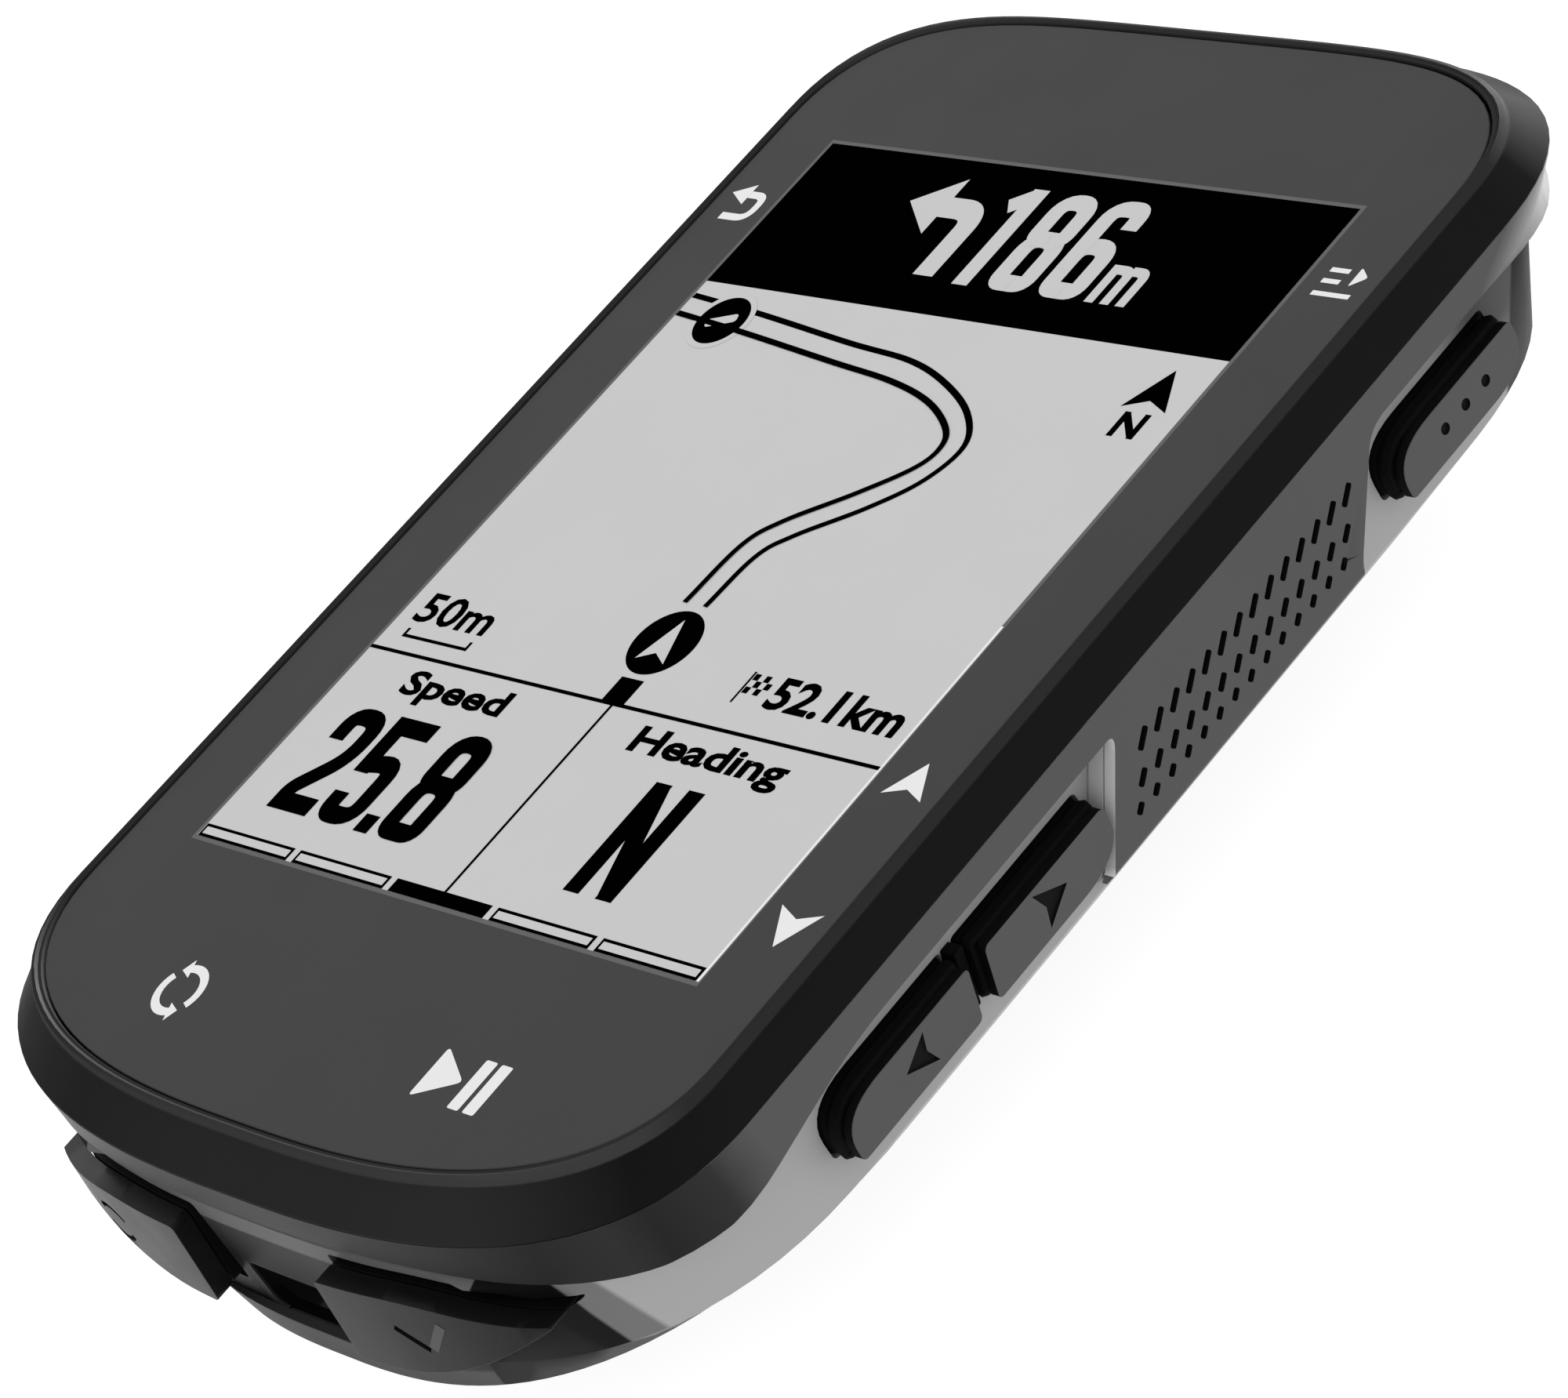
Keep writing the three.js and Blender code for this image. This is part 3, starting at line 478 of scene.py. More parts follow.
def paint_band_reflections():
    """The satin rim of the case, with painted reflections and shade by the direction each face turns: deep
    at the near corner, brighter towards the two sides.
    """
    shade = Shade(GRIP)
    # Painted light: greys that stand in for reflections and shade, by the facing angle in degrees.
    painted_light_tones = [(-180, 84), (-115, 112), (-105, 106), (-90, 67), (-75, 40), (-65, 27), (-50, 40), (-38, 29),
             (-15, 42), (0, 80), (20, 150), (35, 205), (50, 205), (75, 130), (90, 100), (180, 84)]
    shade.paint(shade.ramp(shade.azimuth, painted_light_tones))


def paint_bezel_reflections():
    """The bezel's sloping side with painted reflections and shade, and its thin rim around the lens with a
    painted highlight, both by the direction each face turns.
    """
    shade = Shade(BEZEL_BLACK)
    slope = shade.ramp(shade.azimuth, [
        (-180, 22), (-100, 24), (-90, 35), (-75, 41), (-60, 33), (-40, 20), (0, 23), (15, 27), (45, 84),
        (60, 94), (75, 50), (90, 40), (180, 22)])
    rim = shade.ramp(shade.azimuth, [
        (-180, 30), (-105, 36), (-90, 50), (-70, 60), (-35, 58), (-12, 42), (10, 42), (35, 80), (60, 120),
        (90, 75), (180, 30)])
    shade.paint(shade.mix(shade.step(shade.z, -0.34, -0.26), slope, rim))


def paint_housing_tone_and_light():
    """Housing grey, partly its own colour and partly painted light: light on the side scoops with painted
    highlights on their walls, painted shade black beside the end buttons, painted light and shade on the
    ledge and pocket between them, painted shade in the lanyard slot, above the menu button and on the top
    end, and darker on the back.
    """
    shade = Shade(HOUSING)
    op, step = shade.op, shade.step
    low_end = step(op("MULTIPLY", shade.y, -1.0), 31.0, 31.6)
    # Painted shade at the low end: a mid grey border, then black beside the end buttons.
    edge = op("MULTIPLY_ADD", shade.z, -0.05, 18.35)
    in_half_shade = step(op("SUBTRACT", op("ADD", edge, 1.35), shade.x), -0.1, 0.15)
    color = shade.mix(op("MULTIPLY", low_end, in_half_shade), 158, 109)
    in_painted_shade = step(op("SUBTRACT", edge, shade.x), -0.1, 0.1)
    color = shade.mix(op("MULTIPLY", low_end, in_painted_shade), color, 14)
    # Painted light and shade by height across the low end between the buttons: a lighter ledge under the
    # lip, a darker pocket below it.
    middle = op("SUBTRACT", op("MULTIPLY_ADD", shade.z, 0.52, 17.4), shade.x)
    painted_light_tones = shade.ramp(shade.z, [
        (-15, 62), (-11.5, 74), (-11.42, 66), (-11.2, 42), (-8, 34), (-5.45, 56), (-5.3, 100), (-3, 100)])
    color = shade.mix(op("MULTIPLY", low_end, step(middle, -0.05, 0.1)), color, painted_light_tones)
    # Painted shade inside the lanyard slot.
    in_slot_shade = op("MULTIPLY", step(op("SUBTRACT", 4.2, shade.x), 0, 0.1), step(shade.y, -41.6, -41.5))
    color = shade.mix(op("MULTIPLY", low_end, in_slot_shade), color, 10)
    # Painted light: the housing's walls at the side scoops made lighter against the scoops' shade.
    upright = op("MULTIPLY", step(shade.z, -8.9, -8.7), op("SUBTRACT", 1, low_end))
    walls = op("MULTIPLY", step(shade.x, 23.98, 24.05), upright)
    color = shade.mix(walls, color, 200)
    # Painted shade on the side above the menu button.
    shade_above_menu = op("MULTIPLY", step(shade.y, 20.5, 25.0), step(shade.z, -10.0, -6.5))
    color = shade.mix(shade_above_menu, color, 82)
    # Painted shade across the top end, darkest near the lip.
    top_line = op("SUBTRACT", shade.y, op("MULTIPLY_ADD", shade.z, 0.78, 32.4))
    top_shade = shade.ramp(shade.z, [(-12, 86), (-8.5, 60), (-6, 36), (-4.5, 24), (-3, 20)])
    color = shade.mix(step(top_line, -0.2, 0.3), color, top_shade)
    color = shade.mix(step(op("MULTIPLY", shade.z, -1.0), 12.95, 13.15), color, 46)
    shade.paint(color)


paint_band_reflections()
paint_bezel_reflections()
paint_housing_tone_and_light()


def finish_piece(obj, body, mat, nodes=()):
    """Gives the piece its material (or keeps the ones it has) and its body, and hides the nodes it shows in
    their place.
    """
    if mat:
        obj.data.materials.clear()
        obj.data.materials.append(mat)
    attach(obj, body)
    if nodes:
        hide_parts(*nodes)
    return obj


def coat(obj, *mats):
    """Lists the object's materials in order; faces pick one by number."""
    obj.data.materials.clear()
    for mat in mats:
        obj.data.materials.append(mat)
    return obj


def number_faces(obj, number, chosen=lambda face: True):
    for face in obj.data.polygons:
        if chosen(face):
            face.material_index = number
    return obj


# ---------- front ----------

RIM_TOP = 0.15
lens = loft("lens_panel", [(-0.9, grow(LENS, -0.02)), (-0.06, LENS), (-0.015, grow(LENS, -0.03)),
                           (0.0, grow(LENS, -0.09))])
finish_piece(soften(lens), "case", PANEL, ["cover_lens"])

bezel = loft("bezel", [
    (-2.0, grow(BEZEL, -0.05)), (-1.95, BEZEL), (-1.86, grow(BEZEL, -0.03)),
    (-0.42, grow(LENS, 0.72)), (-0.25, grow(LENS, 0.62)), (-0.02, grow(LENS, 0.60)),
    (0.08, grow(LENS, 0.56)), (0.13, grow(LENS, 0.50)), (RIM_TOP, grow(LENS, 0.42)),
    (RIM_TOP - 0.01, grow(LENS, 0.33)), (0.08, grow(LENS, 0.27))])
well = loft("well", [(-1.2, grow(LENS, 0.1)), (0.0, grow(LENS, 0.1)), (1.0, grow(LENS, 0.55))])
opening = block("opening", -20.6, 20.6, -27.4, 27.4, -3, 1)
finish_piece(soften(cut(bezel, well, opening)), "case", BEZEL_BLACK, ["bezel_frame"])

# ---------- side band ----------

BAND = 0.7
GRIP_Z = -8.8
LIP_Z = -3.55
TOP_LIP_Z = -4.4
LOW_LIP_Z = -5.3
LOWER_SCOOP = [(0, -12, .1, .1), (0, GRIP_Z, .3, .3), (0, LIP_Z, .9, .7), (-24, LIP_Z, 2.5, 2.5),
               (-33, LOW_LIP_Z, 3, .5), (-60, LOW_LIP_Z, .1, .1), (-60, -12, .1, .1)]
UPPER_SCOOP = [(0, -12, .1, .1), (60, -12, .1, .1), (60, TOP_LIP_Z, .1, .1),
               (31, TOP_LIP_Z, .5, 2), (25.5, LIP_Z, 2.5, 2.5), (0, LIP_Z, 1.2, 1),
               (0, GRIP_Z + 0.3, .9, .3)]


def scoop(side, points):
    tool = prism("scoop", rounded(points), "x", 15, 30)
    return tool if side > 0 else mirrored(tool)


def lower_scoop(side, tip, foot):
    shape = list(LOWER_SCOOP)
    shape[0] = (foot + 0.3, -12, .1, .1)
    shape[1] = (foot, GRIP_Z, .3, .3)
    shape[2] = (tip, LIP_Z, .9, .7)
    return scoop(side, shape)


def upper_scoop(side, tip, foot):
    shape = list(UPPER_SCOOP)
    shape[0] = (foot, -12, .1, .1)
    shape[5] = (tip, LIP_Z, 1.2, 1.0)
    shape[6] = (foot, GRIP_Z + 0.3, .9, .3)
    return scoop(side, shape)


def end_trim(low, lift=0.0):
    """Cutter that shapes the lip across the low or the top end."""
    corner = (LOW_LIP_Z if low else TOP_LIP_Z) + lift
    shape = rounded([(-23.5, -12, .1, .1), (23.5, -12, .1, .1), (23.5, corner, .1, .1),
                     (11.5, LIP_Z + lift, 4, 4), (-11.5, LIP_Z + lift, 4, 4),
                     (-23.5, corner, .1, .1)], steps=14)
    return prism("trim", shape, "y", *((-60, -31) if low else (31, 60)))


def scoops():
    """Cutters of the two scoops on each side and the trims at both ends."""
    return [lower_scoop(1, -4.75, -8.6), upper_scoop(1, 15.2, 11.0),
            lower_scoop(-1, -20.0, -25.3), upper_scoop(-1, 15.2, 11.0),
            end_trim(True), end_trim(False)]


def band_solid(name, by, low_inset, reach=0.0):
    return loft(name, [(-9.9 - reach, grow(LIP_FOOT, -low_inset)), (GRIP_Z - 0.12, grow(LIP_FOOT, by - 0.1)),
                       (GRIP_Z, grow(LIP_FOOT, by - 0.03)), (GRIP_Z + 0.12, grow(LIP_FOOT, by)),
                       (LIP_Z, grow(LIP_FOOT, by)), (-2.04, grow(BEZEL, by)),
                       (-2.0 + reach, grow(BEZEL, by))])


SLOTS_IN_ROW = 14
SLOT_PITCH = 1.225
SLOT_WIDTH = 0.38
SLOT_LEAN = math.radians(-52)


def slot_cutters(side):
    """Three rows of slanted slots in one grip; their walls take the band's third material, a dark grey of
    painted shade.
    """
    cutters = []
    for y0, z, length in ((-3.7, -5.0, 1.15), (-4.75, -6.45, 0.9), (-5.7, -7.5, 0.62)):
        for i in range(SLOTS_IN_ROW):
            y = y0 + SLOT_PITCH * i
            h, w, r = length / 2, SLOT_WIDTH / 2, 0.12
            shape = rounded([(-w, -h, r, r), (w, -h, r, r), (w, h, r, r), (-w, h, r, r)], 2)
            turn = Matrix.Rotation(SLOT_LEAN, 2)
            points = [turn @ Vector(p) for p in shape]
            points = [(p.x + y, p.y + z) for p in points]
            cutters.append(prism("slot", points, "x", 25.2, 26.3))
    merged = number_faces(merge(cutters, "slots"), 2)
    return merged if side > 0 else mirrored(merged)


band = band_solid("grip_band", 0, 1.32)
band = cut(band, band_solid("inner", -BAND, 1.75, 0.1), *scoops())
band = coat(soften(band, 0.07, 40, 2), GRIP, PAINTED_EDGE_LIGHT, MARK_AND_SLOT_SHADE)


def on_cut_edge(face):
    return (25.05 * MM < abs(face.center.x) < 25.73 * MM and abs(face.normal.x) < 0.3
            and face.center.z < (THICK - 3.3) * MM)


# The band's cut edges at the scoops take the painted light grey.
number_faces(band, 1, on_cut_edge)
band = cut(band, slot_cutters(1), slot_cutters(-1))
finish_piece(soften(band), "case", None, ["side_band"])

# ---------- rear housing ----------

KEY_LOW, KEY_TOP = -8.25, -5.65


def top_key(e):
    return [(15.3 - e, KEY_LOW - e, .35, .35), (24.9 + e, KEY_LOW - e, 3, 2),
            (24.9 + e, KEY_TOP + e, .35, .35), (15.3 - e, KEY_TOP + e, 3, 2)]


def up_key(e):
    return [(-16.95 - e, KEY_LOW - e, .35, .35), (-7.4 + e, KEY_LOW - e, 3.3, 2.15),
            (-7.4 + e, KEY_TOP + e, .35, .35), (-16.2 - e, KEY_TOP + e, .35, .35)]


def down_key(e):
    return [(-26.8 - e, KEY_LOW - e, .35, .35), (-18.15 + e, KEY_LOW - e, .35, .35),
            (-17.4 + e, KEY_TOP + e, .35, .35), (-26.8 - e, KEY_TOP + e, 3, 2)]


END_FACE = dict(half=24.1, top=20, bottom=-43.1, soft=(0, 0))
END_TOP = -4.85


def end_key(e):
    near, middle, far, top, low = 5.5, 11.8, 19.2, END_TOP, -9.65
    return [(near - e, low - e, .35, .35), (middle, low - e, 4.5, 5.0), (far + e, top - 1.5, .7, .4),
            (far - 1.6, top - 1.25 + e, .4, .4), (middle, top + e, 2, 2), (near - e, top + e, .35, .35)]


def end_solid(name, deep, lean=0.08):
    """Solid bounded by the end buttons' leaning faces, moved in by a depth."""
    def level(z):
        return z, dict(END_FACE, bottom=END_FACE["bottom"] + deep + lean * (z - END_TOP))

    return loft(name, [level(-15.3), level(1)])


SIDE_KEYS = {"menu": (top_key, 1), "back": (top_key, -1), "up": (up_key, 1), "down": (down_key, 1)}


def side_prism(name, points, side, x0, x1):
    tool = prism(name, points, "x", x0, x1)
    return tool if side > 0 else mirrored(tool)


def end_prism(name, points, side, y0, y1):
    tool = prism(name, points, "y", y0, y1)
    return tool if side > 0 else mirrored(tool)


WALL = 1.5
WINDOW_GAP = 0.25
FIT = 0.12
PAD_INSET = 1.82
CASE_SCREWS = ((14.6, 23.6), (-14.6, 23.6), (14.2, -32.2), (-14.2, -32.2))
LANYARD = dict(half=4.0, top=-8.2, low=-11.3)

tub = loft("rear_shell", CORE_LEVELS)
relief = cut(block("relief", -30, 30, -50, 45, LOW_LIP_Z - FIT, 0),
             band_solid("keep", -BAND - FIT, PAD_INSET, 3), end_trim(True, -FIT), end_trim(False, -FIT))
pads = common(band_solid("pads", -BAND - FIT, PAD_INSET), block("room", -30, 30, -50, 45, -12, -2.9))
pads = cut(pads, *scoops())
tub = join(cut(tub, relief), pads)
CHEEKS = [(-10.3, dict(half=23.6, top=33.5, bottom=0, soft=(4.4, 0))),
          (-9.0, dict(half=23.9, top=34.2, bottom=0, soft=(2.3, 0))),
          (-4.5, dict(half=25.35, top=36.5, bottom=0, soft=(2.85, 0)))]
cheek_room = prism("cheek_room", [(32.7, -12), (60, -12), (60, -4.55), (31, -4.55), (25.3, -4.0)],
                   "x", -30, 30)
tub = join(tub, common(loft("cheeks", CHEEKS), cheek_room))
hollow = loft("hollow", [(FLOOR_Z, grow(CORE_LEVELS[1][1], -2.3))]
              + [(z, grow(shape, -WALL)) for z, shape in CORE_LEVELS[2:5]]
              + [(0, grow(CORE_LEVELS[5][1], -WALL))])
tub = cut(tub, hollow)
inside_core = loft("fit", [(z, grow(shape, -0.2)) for z, shape in CORE_LEVELS])
core_fill = common(block("fill", -5.1, 5.1, -42.0, -37.2, -13.6, -5.6), inside_core)
port_block = block("port_block", -9.4, 9.4, -36.6, -26.0, -13.6, -11.5)
bosses = merge([lathe("boss", [(0, -13.1), (2.7, -13.1), (2.7, -10.2), (0, -10.2)], 32, x, y)
                for x, y in CASE_SCREWS], "bosses")
tub = join(tub, core_fill, port_block, bosses)
windows = [side_prism("window", rounded(shape(WINDOW_GAP)), side, 21, 30)
           for shape, side in SIDE_KEYS.values()]
windows += [end_prism("window", rounded(end_key(WINDOW_GAP)), s, -50, -36) for s in (1, -1)]
recess_shape = rounded([
    (-11.8, -11.3, 5, 4.5), (11.8, -11.3, 4.5, 5), (19.7, -6.5, .8, .6), (18.2, -5.5, .6, .6),
    (11.8, -4.1, 2, 2), (-11.8, -4.1, 2, 2), (-18.2, -5.5, .6, .6), (-19.7, -6.5, .6, .8)], 12)
recess = cut(prism("recess", recess_shape, "y", -50, -36), end_solid("floor", 1.4, 0))
groove = cut(block("groove", -10, 10, -50, -36, -11.42, -11.28), end_solid("groove_floor", 1.6, 0))
half, top, low = LANYARD["half"], LANYARD["top"], LANYARD["low"]
slot = prism("lanyard", rounded([(-half, low, .9, .9), (half, low, .9, .9), (half, top, .5, .5),
                                 (-half, top, .5, .5)]), "y", -50, -38.6)
slot_back = block("lanyard_back", -half, half, -41.0, -38.6, -15.3, top - 0.4)
tub = cut(tub, recess, groove, *windows, slot, slot_back)
wells = merge([lathe("well", [(0, -15), (2.1, -15), (2.1, FLOOR_Z), (0, FLOOR_Z)], 40, x, y)
               for x, y in CASE_SCREWS], "wells")
vent_seat = lathe("vent_seat", [(0, -15), (2.6, -15), (2.6, -13.7), (0, -13.7)], 40, 11.0, -19.5)
door_seat = block("door_seat", -8.1, 8.1, -35.25, -27.1, -15, FLOOR_Z)
port = block("port", -4.9, 4.9, -33.0, -29.0, -14, -11)
tub = cut(tub, wells, vent_seat, door_seat, port)
finish_piece(soften(tub, 0.1, 42, 2), "case", HOUSING, ["rear_housing"])

# ---------- side buttons ----------

KEY_CENTRE = {"menu": 20.3, "back": 20.3, "up": -12.0, "down": -22.3}
FACE_X = 25.85
MARK_DEPTH = 0.16
MARK_X = FACE_X - MARK_DEPTH


def dart(tip, tail, notch, z, wing):
    """Notched arrowhead in (y, z) that points along y."""
    return [(tip, z), (tail, z - wing), (notch, z), (tail, z + wing)]


def key_marks(name):
    """Cutters for the mark on one side button: an arrowhead, three dots or a return arrow."""
    if name == "up":
        return [prism("mark", dart(-10.95, -12.85, -12.5, -6.88, 1.0), "x", MARK_X, 27)]
    if name == "down":
        return [prism("mark", dart(-22.8, -21.0, -21.32, -6.9, 0.88), "x", MARK_X, 27)]
    if name == "menu":
        marks = []
        for y in (18.75, 20.42, 22.06):
            ring = [(y + 0.3 * math.cos(a), -6.9 + 0.3 * math.sin(a))
                    for a in [2 * math.pi * i / 24 for i in range(24)]]
            marks.append(prism("mark", ring, "x", MARK_X, 27))
        return marks
    hook = stroke_points([(22.0, -7.6), (21.4, -7.75), (19.6, -7.75), (19.1, -7.3), (19.1, -6.6),
                          (19.6, -6.15), (21.6, -6.15)], 0.36)
    tip = [(22.5, -6.15), (21.3, -5.8 + 0.02), (21.3, -6.5)]
    return [prism("mark", hook, "x", MARK_X, 27), prism("mark", tip, "x", MARK_X, 27)]


def apart(points):
    """Drops points that repeat the one before them."""
    kept = []
    for p in points:
        if not kept or (Vector(p) - kept[-1]).length > 0.004:
            kept.append(Vector(p))
    return kept


def stroke_points(points, width):
    """Outline polygon of an open line of even width with mitred joints."""
    pts = apart(points)
    left, right = [], []
    for i, p in enumerate(pts):
        a = (p - pts[i - 1]).normalized() if i else None
        b = (pts[i + 1] - p).normalized() if i + 1 < len(pts) else None
        d = ((a or b) + (b or a)).normalized()
        n = Vector((-d.y, d.x))
        grow_by = 1.0
        if a and b:
            grow_by = 1.0 / max(math.sqrt((1 + a.dot(b)) / 2), 0.5)
        left.append(tuple(p + n * width / 2 * grow_by))
        right.append(tuple(p - n * width / 2 * grow_by))
    return left + right[::-1]


def stack(name, rings, side):
    """Solid through polygons given as (x, points in y and z)."""
    obj = skin(name, [[(x, y, z) for y, z in points] for x, points in rings])
    return obj if side > 0 else mirrored(obj)


def engrave(cap, marks):
    """Sinks marks into a cap; the sunk faces take the cap's second material."""
    return soften(cut(cap, *[number_faces(mark, 1) for mark in marks]))


# The ribbed rubber boot round a side button: (x, how far it stands out from the button's outline)
RIBS = [(21.8, -0.03), (22.7, -0.03), (23.05, 0.1), (23.45, 0.17), (23.8, 0.1), (24.05, -0.02),
        (24.3, 0.1), (24.65, 0.17), (24.95, 0.08), (FACE_X - 0.68, -0.2)]

for key, (shape, side) in SIDE_KEYS.items():
    mid = KEY_CENTRE[key]
    zc = (KEY_LOW + KEY_TOP) / 2
    face = side_prism("face", rounded(shape(0), 12), side, FACE_X - 0.6, FACE_X)
    stem = side_prism("stem", [(mid - 2.6, zc - .7), (mid + 2.6, zc - .7), (mid + 2.6, zc + .7),
                               (mid - 2.6, zc + .7)], side, 21.15, FACE_X - 0.3)
    cap = coat(soften(join(face, stem), 0.09, 40, 3), KEY_FACE, MARK_AND_SLOT_SHADE, RUBBER)
    number_faces(cap, 2, lambda f: abs(f.normal.x) < 0.6 or abs(f.center.x) < (FACE_X - 0.3) * MM)
    marks = key_marks(key)
    if side < 0:
        marks = [mirrored(m) for m in marks]
    cap.name = f"{key}_cap"
    finish_piece(engrave(cap, marks), f"{key}_button", None, [f"{key}_button_cap"])
    boot = soften(stack("boot", [(x, rounded(shape(e), 12)) for x, e in RIBS], side))
    boot.name = f"{key}_boot"
    finish_piece(boot, f"{key}_button", RUBBER, [f"{key}_button_boot"])

web = prism("button_web", [(-18.05, -8.35), (-17.3, -8.35), (-16.5, -5.4), (-17.15, -5.4)],
            "x", 23.85, 24.9)
finish_piece(soften(web, 0.1, 40, 3), "case", RUBBER)

# ---------- end buttons ----------


def end_mark(points, side=1):
    """Cutter of one polygon into a leaning end face."""
    tool = end_prism("mark", points, side, -50, -30)
    return cut(tool, end_solid("mark_floor", MARK_DEPTH))


def end_marks(key):
    if key == "start":
        return [end_mark(stroke_points([(9.95, -6.65), (11.6, -7.8)], 0.4))]
    marks = []
    for start in (30, 210):
        points = [(13.0 + 1.35 * math.cos(math.radians(start + 12 * i)),
                   -7.5 + 0.95 * math.sin(math.radians(start + 12 * i))) for i in range(11)]
        marks.append(end_mark(stroke_points(points, 0.3), -1))
    return marks


for key, side in (("lap", -1), ("start", 1)):
    slab = block("slab", -30, 30, -50, -30, -14, 0)
    face = common(end_prism("face", rounded(end_key(0), 12), side, -50, -30),
                  cut(slab, end_solid("in", 1.1)))
    face = common(face, end_solid("out", 0))
    stem = block("stem", *((8.9, 14.1) if side > 0 else (-14.1, -8.9)), -42.3, -38.55, -7.9, -6.3)
    stem = common(stem, end_solid("trim", 0.3))
    cap = coat(soften(join(face, stem), 0.14, 40, 3), CAP_DARK, MARK_AND_SLOT_SHADE)
    cap.name = f"{key}_cap"
    finish_piece(engrave(cap, end_marks(key)), f"{key}_button", None, [f"{key}_button_cap"])
    if key == "start":
        line = stroke_points([(11.85, -7.7), (13.2, -6.1)], 0.5)
        stroke = common(end_prism("check_stroke", line, 1, -50, -30),
                        cut(end_solid("stroke_out", -0.02), end_solid("stroke_in", 0.1)))
        finish_piece(stroke, "start_button", KEY_FACE)
    sleeve = end_prism("sleeve", rounded(end_key(-0.03), 12), side, -50, -30)
    boot = common(cut(sleeve, end_solid("in", 3.2)), end_solid("out", 1.18))
    boot.name = f"{key}_boot"
    finish_piece(soften(boot, 0.12, 40, 3), f"{key}_button", RUBBER, [f"{key}_button_boot"])

# ---------- printed front ----------

INK = 0.005
POLYGON_STEP = 0.0002
LABEL_LEVEL = 3


def flat(name, polygons, mat, level=1):
    """Thin printed shapes on the lens; each polygon is a list of (x, y). Level sets what lies on top."""
    bm = bmesh.new()
    for k, points in enumerate(polygons):
        z = INK * level + POLYGON_STEP * k
        verts = [bm.verts.new(place(x, y, z)) for x, y in points]
        face = bm.faces.new(verts)
        face.normal_update()
        if face.normal.z < 0:
            face.normal_flip()
    bmesh.ops.triangulate(bm, faces=bm.faces, ngon_method="EAR_CLIP")
    mesh = bpy.data.meshes.new(name)
    bm.to_mesh(mesh)
    bm.free()
    obj = bpy.data.objects.new(name, mesh)
    bpy.context.scene.collection.objects.link(obj)
    return finish_piece(obj, "case", mat)


def rect(x0, x1, y0, y1):
    return [(x0, y0), (x1, y0), (x1, y1), (x0, y1)]


def disc(x, y, r, n=48):
    return [(x + r * math.cos(2 * math.pi * i / n), y + r * math.sin(2 * math.pi * i / n))
            for i in range(n)]


def smooth_line(points, steps=8):
    """Catmull-Rom curve through the points."""
    pts = [Vector(p) for p in points]
    pts = [pts[0] * 2 - pts[1]] + pts + [pts[-1] * 2 - pts[-2]]
    out = []
    for i in range(1, len(pts) - 2):
        p0, p1, p2, p3 = pts[i - 1:i + 3]
        for k in range(steps):
            t = k / steps
            out.append(tuple(0.5 * ((2 * p1) + (p2 - p0) * t + (2 * p0 - 5 * p1 + 4 * p2 - p3) * t ** 2
                                    + (3 * p1 - p0 - 3 * p2 + p3) * t ** 3)))
    out.append(tuple(pts[-2]))
    return out


def bend(points, radius, steps=6):
    """Open line whose inner corners are rounded."""
    out = [points[0]]
    for a, b, c in zip(points, points[1:], points[2:]):
        a, b, c = Vector(a), Vector(b), Vector(c)
        r = min(radius, (a - b).length * 0.5, (c - b).length * 0.5)
        p, q = b + (a - b).normalized() * r, b + (c - b).normalized() * r
        for k in range(steps + 1):
            t = k / steps
            out.append(tuple(p * (1 - t) ** 2 + b * 2 * t * (1 - t) + q * t ** 2))
    out.append(points[-1])
    return out


def band_line(points, width):
    """A line of even width as separate quads, so that tight bends stay clean."""
    outline_points = stroke_points(points, width)
    n = len(outline_points) // 2
    left, right = outline_points[:n], outline_points[n:][::-1]
    return [[left[i], right[i], right[i + 1], left[i + 1]] for i in range(n - 1)]


def glyph(char, x, y, w, h, s):
    """Bold condensed numeral, letter or decimal point in a box, drawn with strokes of width s."""
    a, b = x + s / 2, x + w - s / 2
    lo, hi, mid = y + s / 2, y + h - s / 2, y + h * 0.53
    r = (b - a) * 0.55

    def loop(y0, y1):
        cx = (a + b) / 2
        return bend([(cx - 0.1, y0), (b, y0), (b, y1), (a, y1), (a, y0), (cx + 0.1, y0)], r)

    if char == "8":
        return [loop(lo, mid), loop(mid, hi)]
    if char == "6":
        return [loop(lo, mid), bend([(b, hi - h * 0.2), (b, hi), (a, hi), (a, lo + h * 0.2)], r)]
    if char == "1":
        return [[(b - s * 0.1, y), (b - s * 0.1, y + h)],
                [(x, y + h * 0.80), (b - s * 0.2, y + h * 0.93)]]
    if char == "2":
        return [bend([(a, y + h * 0.68), (a, hi), (b, hi), (b, y + h * 0.55), (a, y + h * 0.2), (a, lo)], r),
                [(x, lo), (x + w, lo)]]
    if char == "5":
        return [[(x + w, hi), (x, hi)], [(a, hi), (a, y + h * 0.47)],
                bend([(a, y + h * 0.55), (b, y + h * 0.60), (b, lo), (a, lo), (a, y + h * 0.28)], r)]
    if char == "N":
        return [[(a, y), (a, y + h)], [(b, y), (b, y + h)],
                [(a + s * 0.05, y + h - s * 0.4), (b - s * 0.05, y + s * 0.4)]]
    if char == "m":
        third = (b - a) / 2
        out = [[(a, y), (a, y + h)]]
        for k in (1, 2):
            start, end = a + third * (k - 1), a + third * k
            out.append(bend([(start, hi), (end, hi), (end, y)], third * 0.7))
        return out
    return [[(x, lo), (x + w, lo)]]


def glyph_polys(chars, s):
    polys = []
    for char, x, y, w, h in chars:
        for line in glyph(char, x, y, w, h, s):
            polys += band_line(line, s)
    return polys


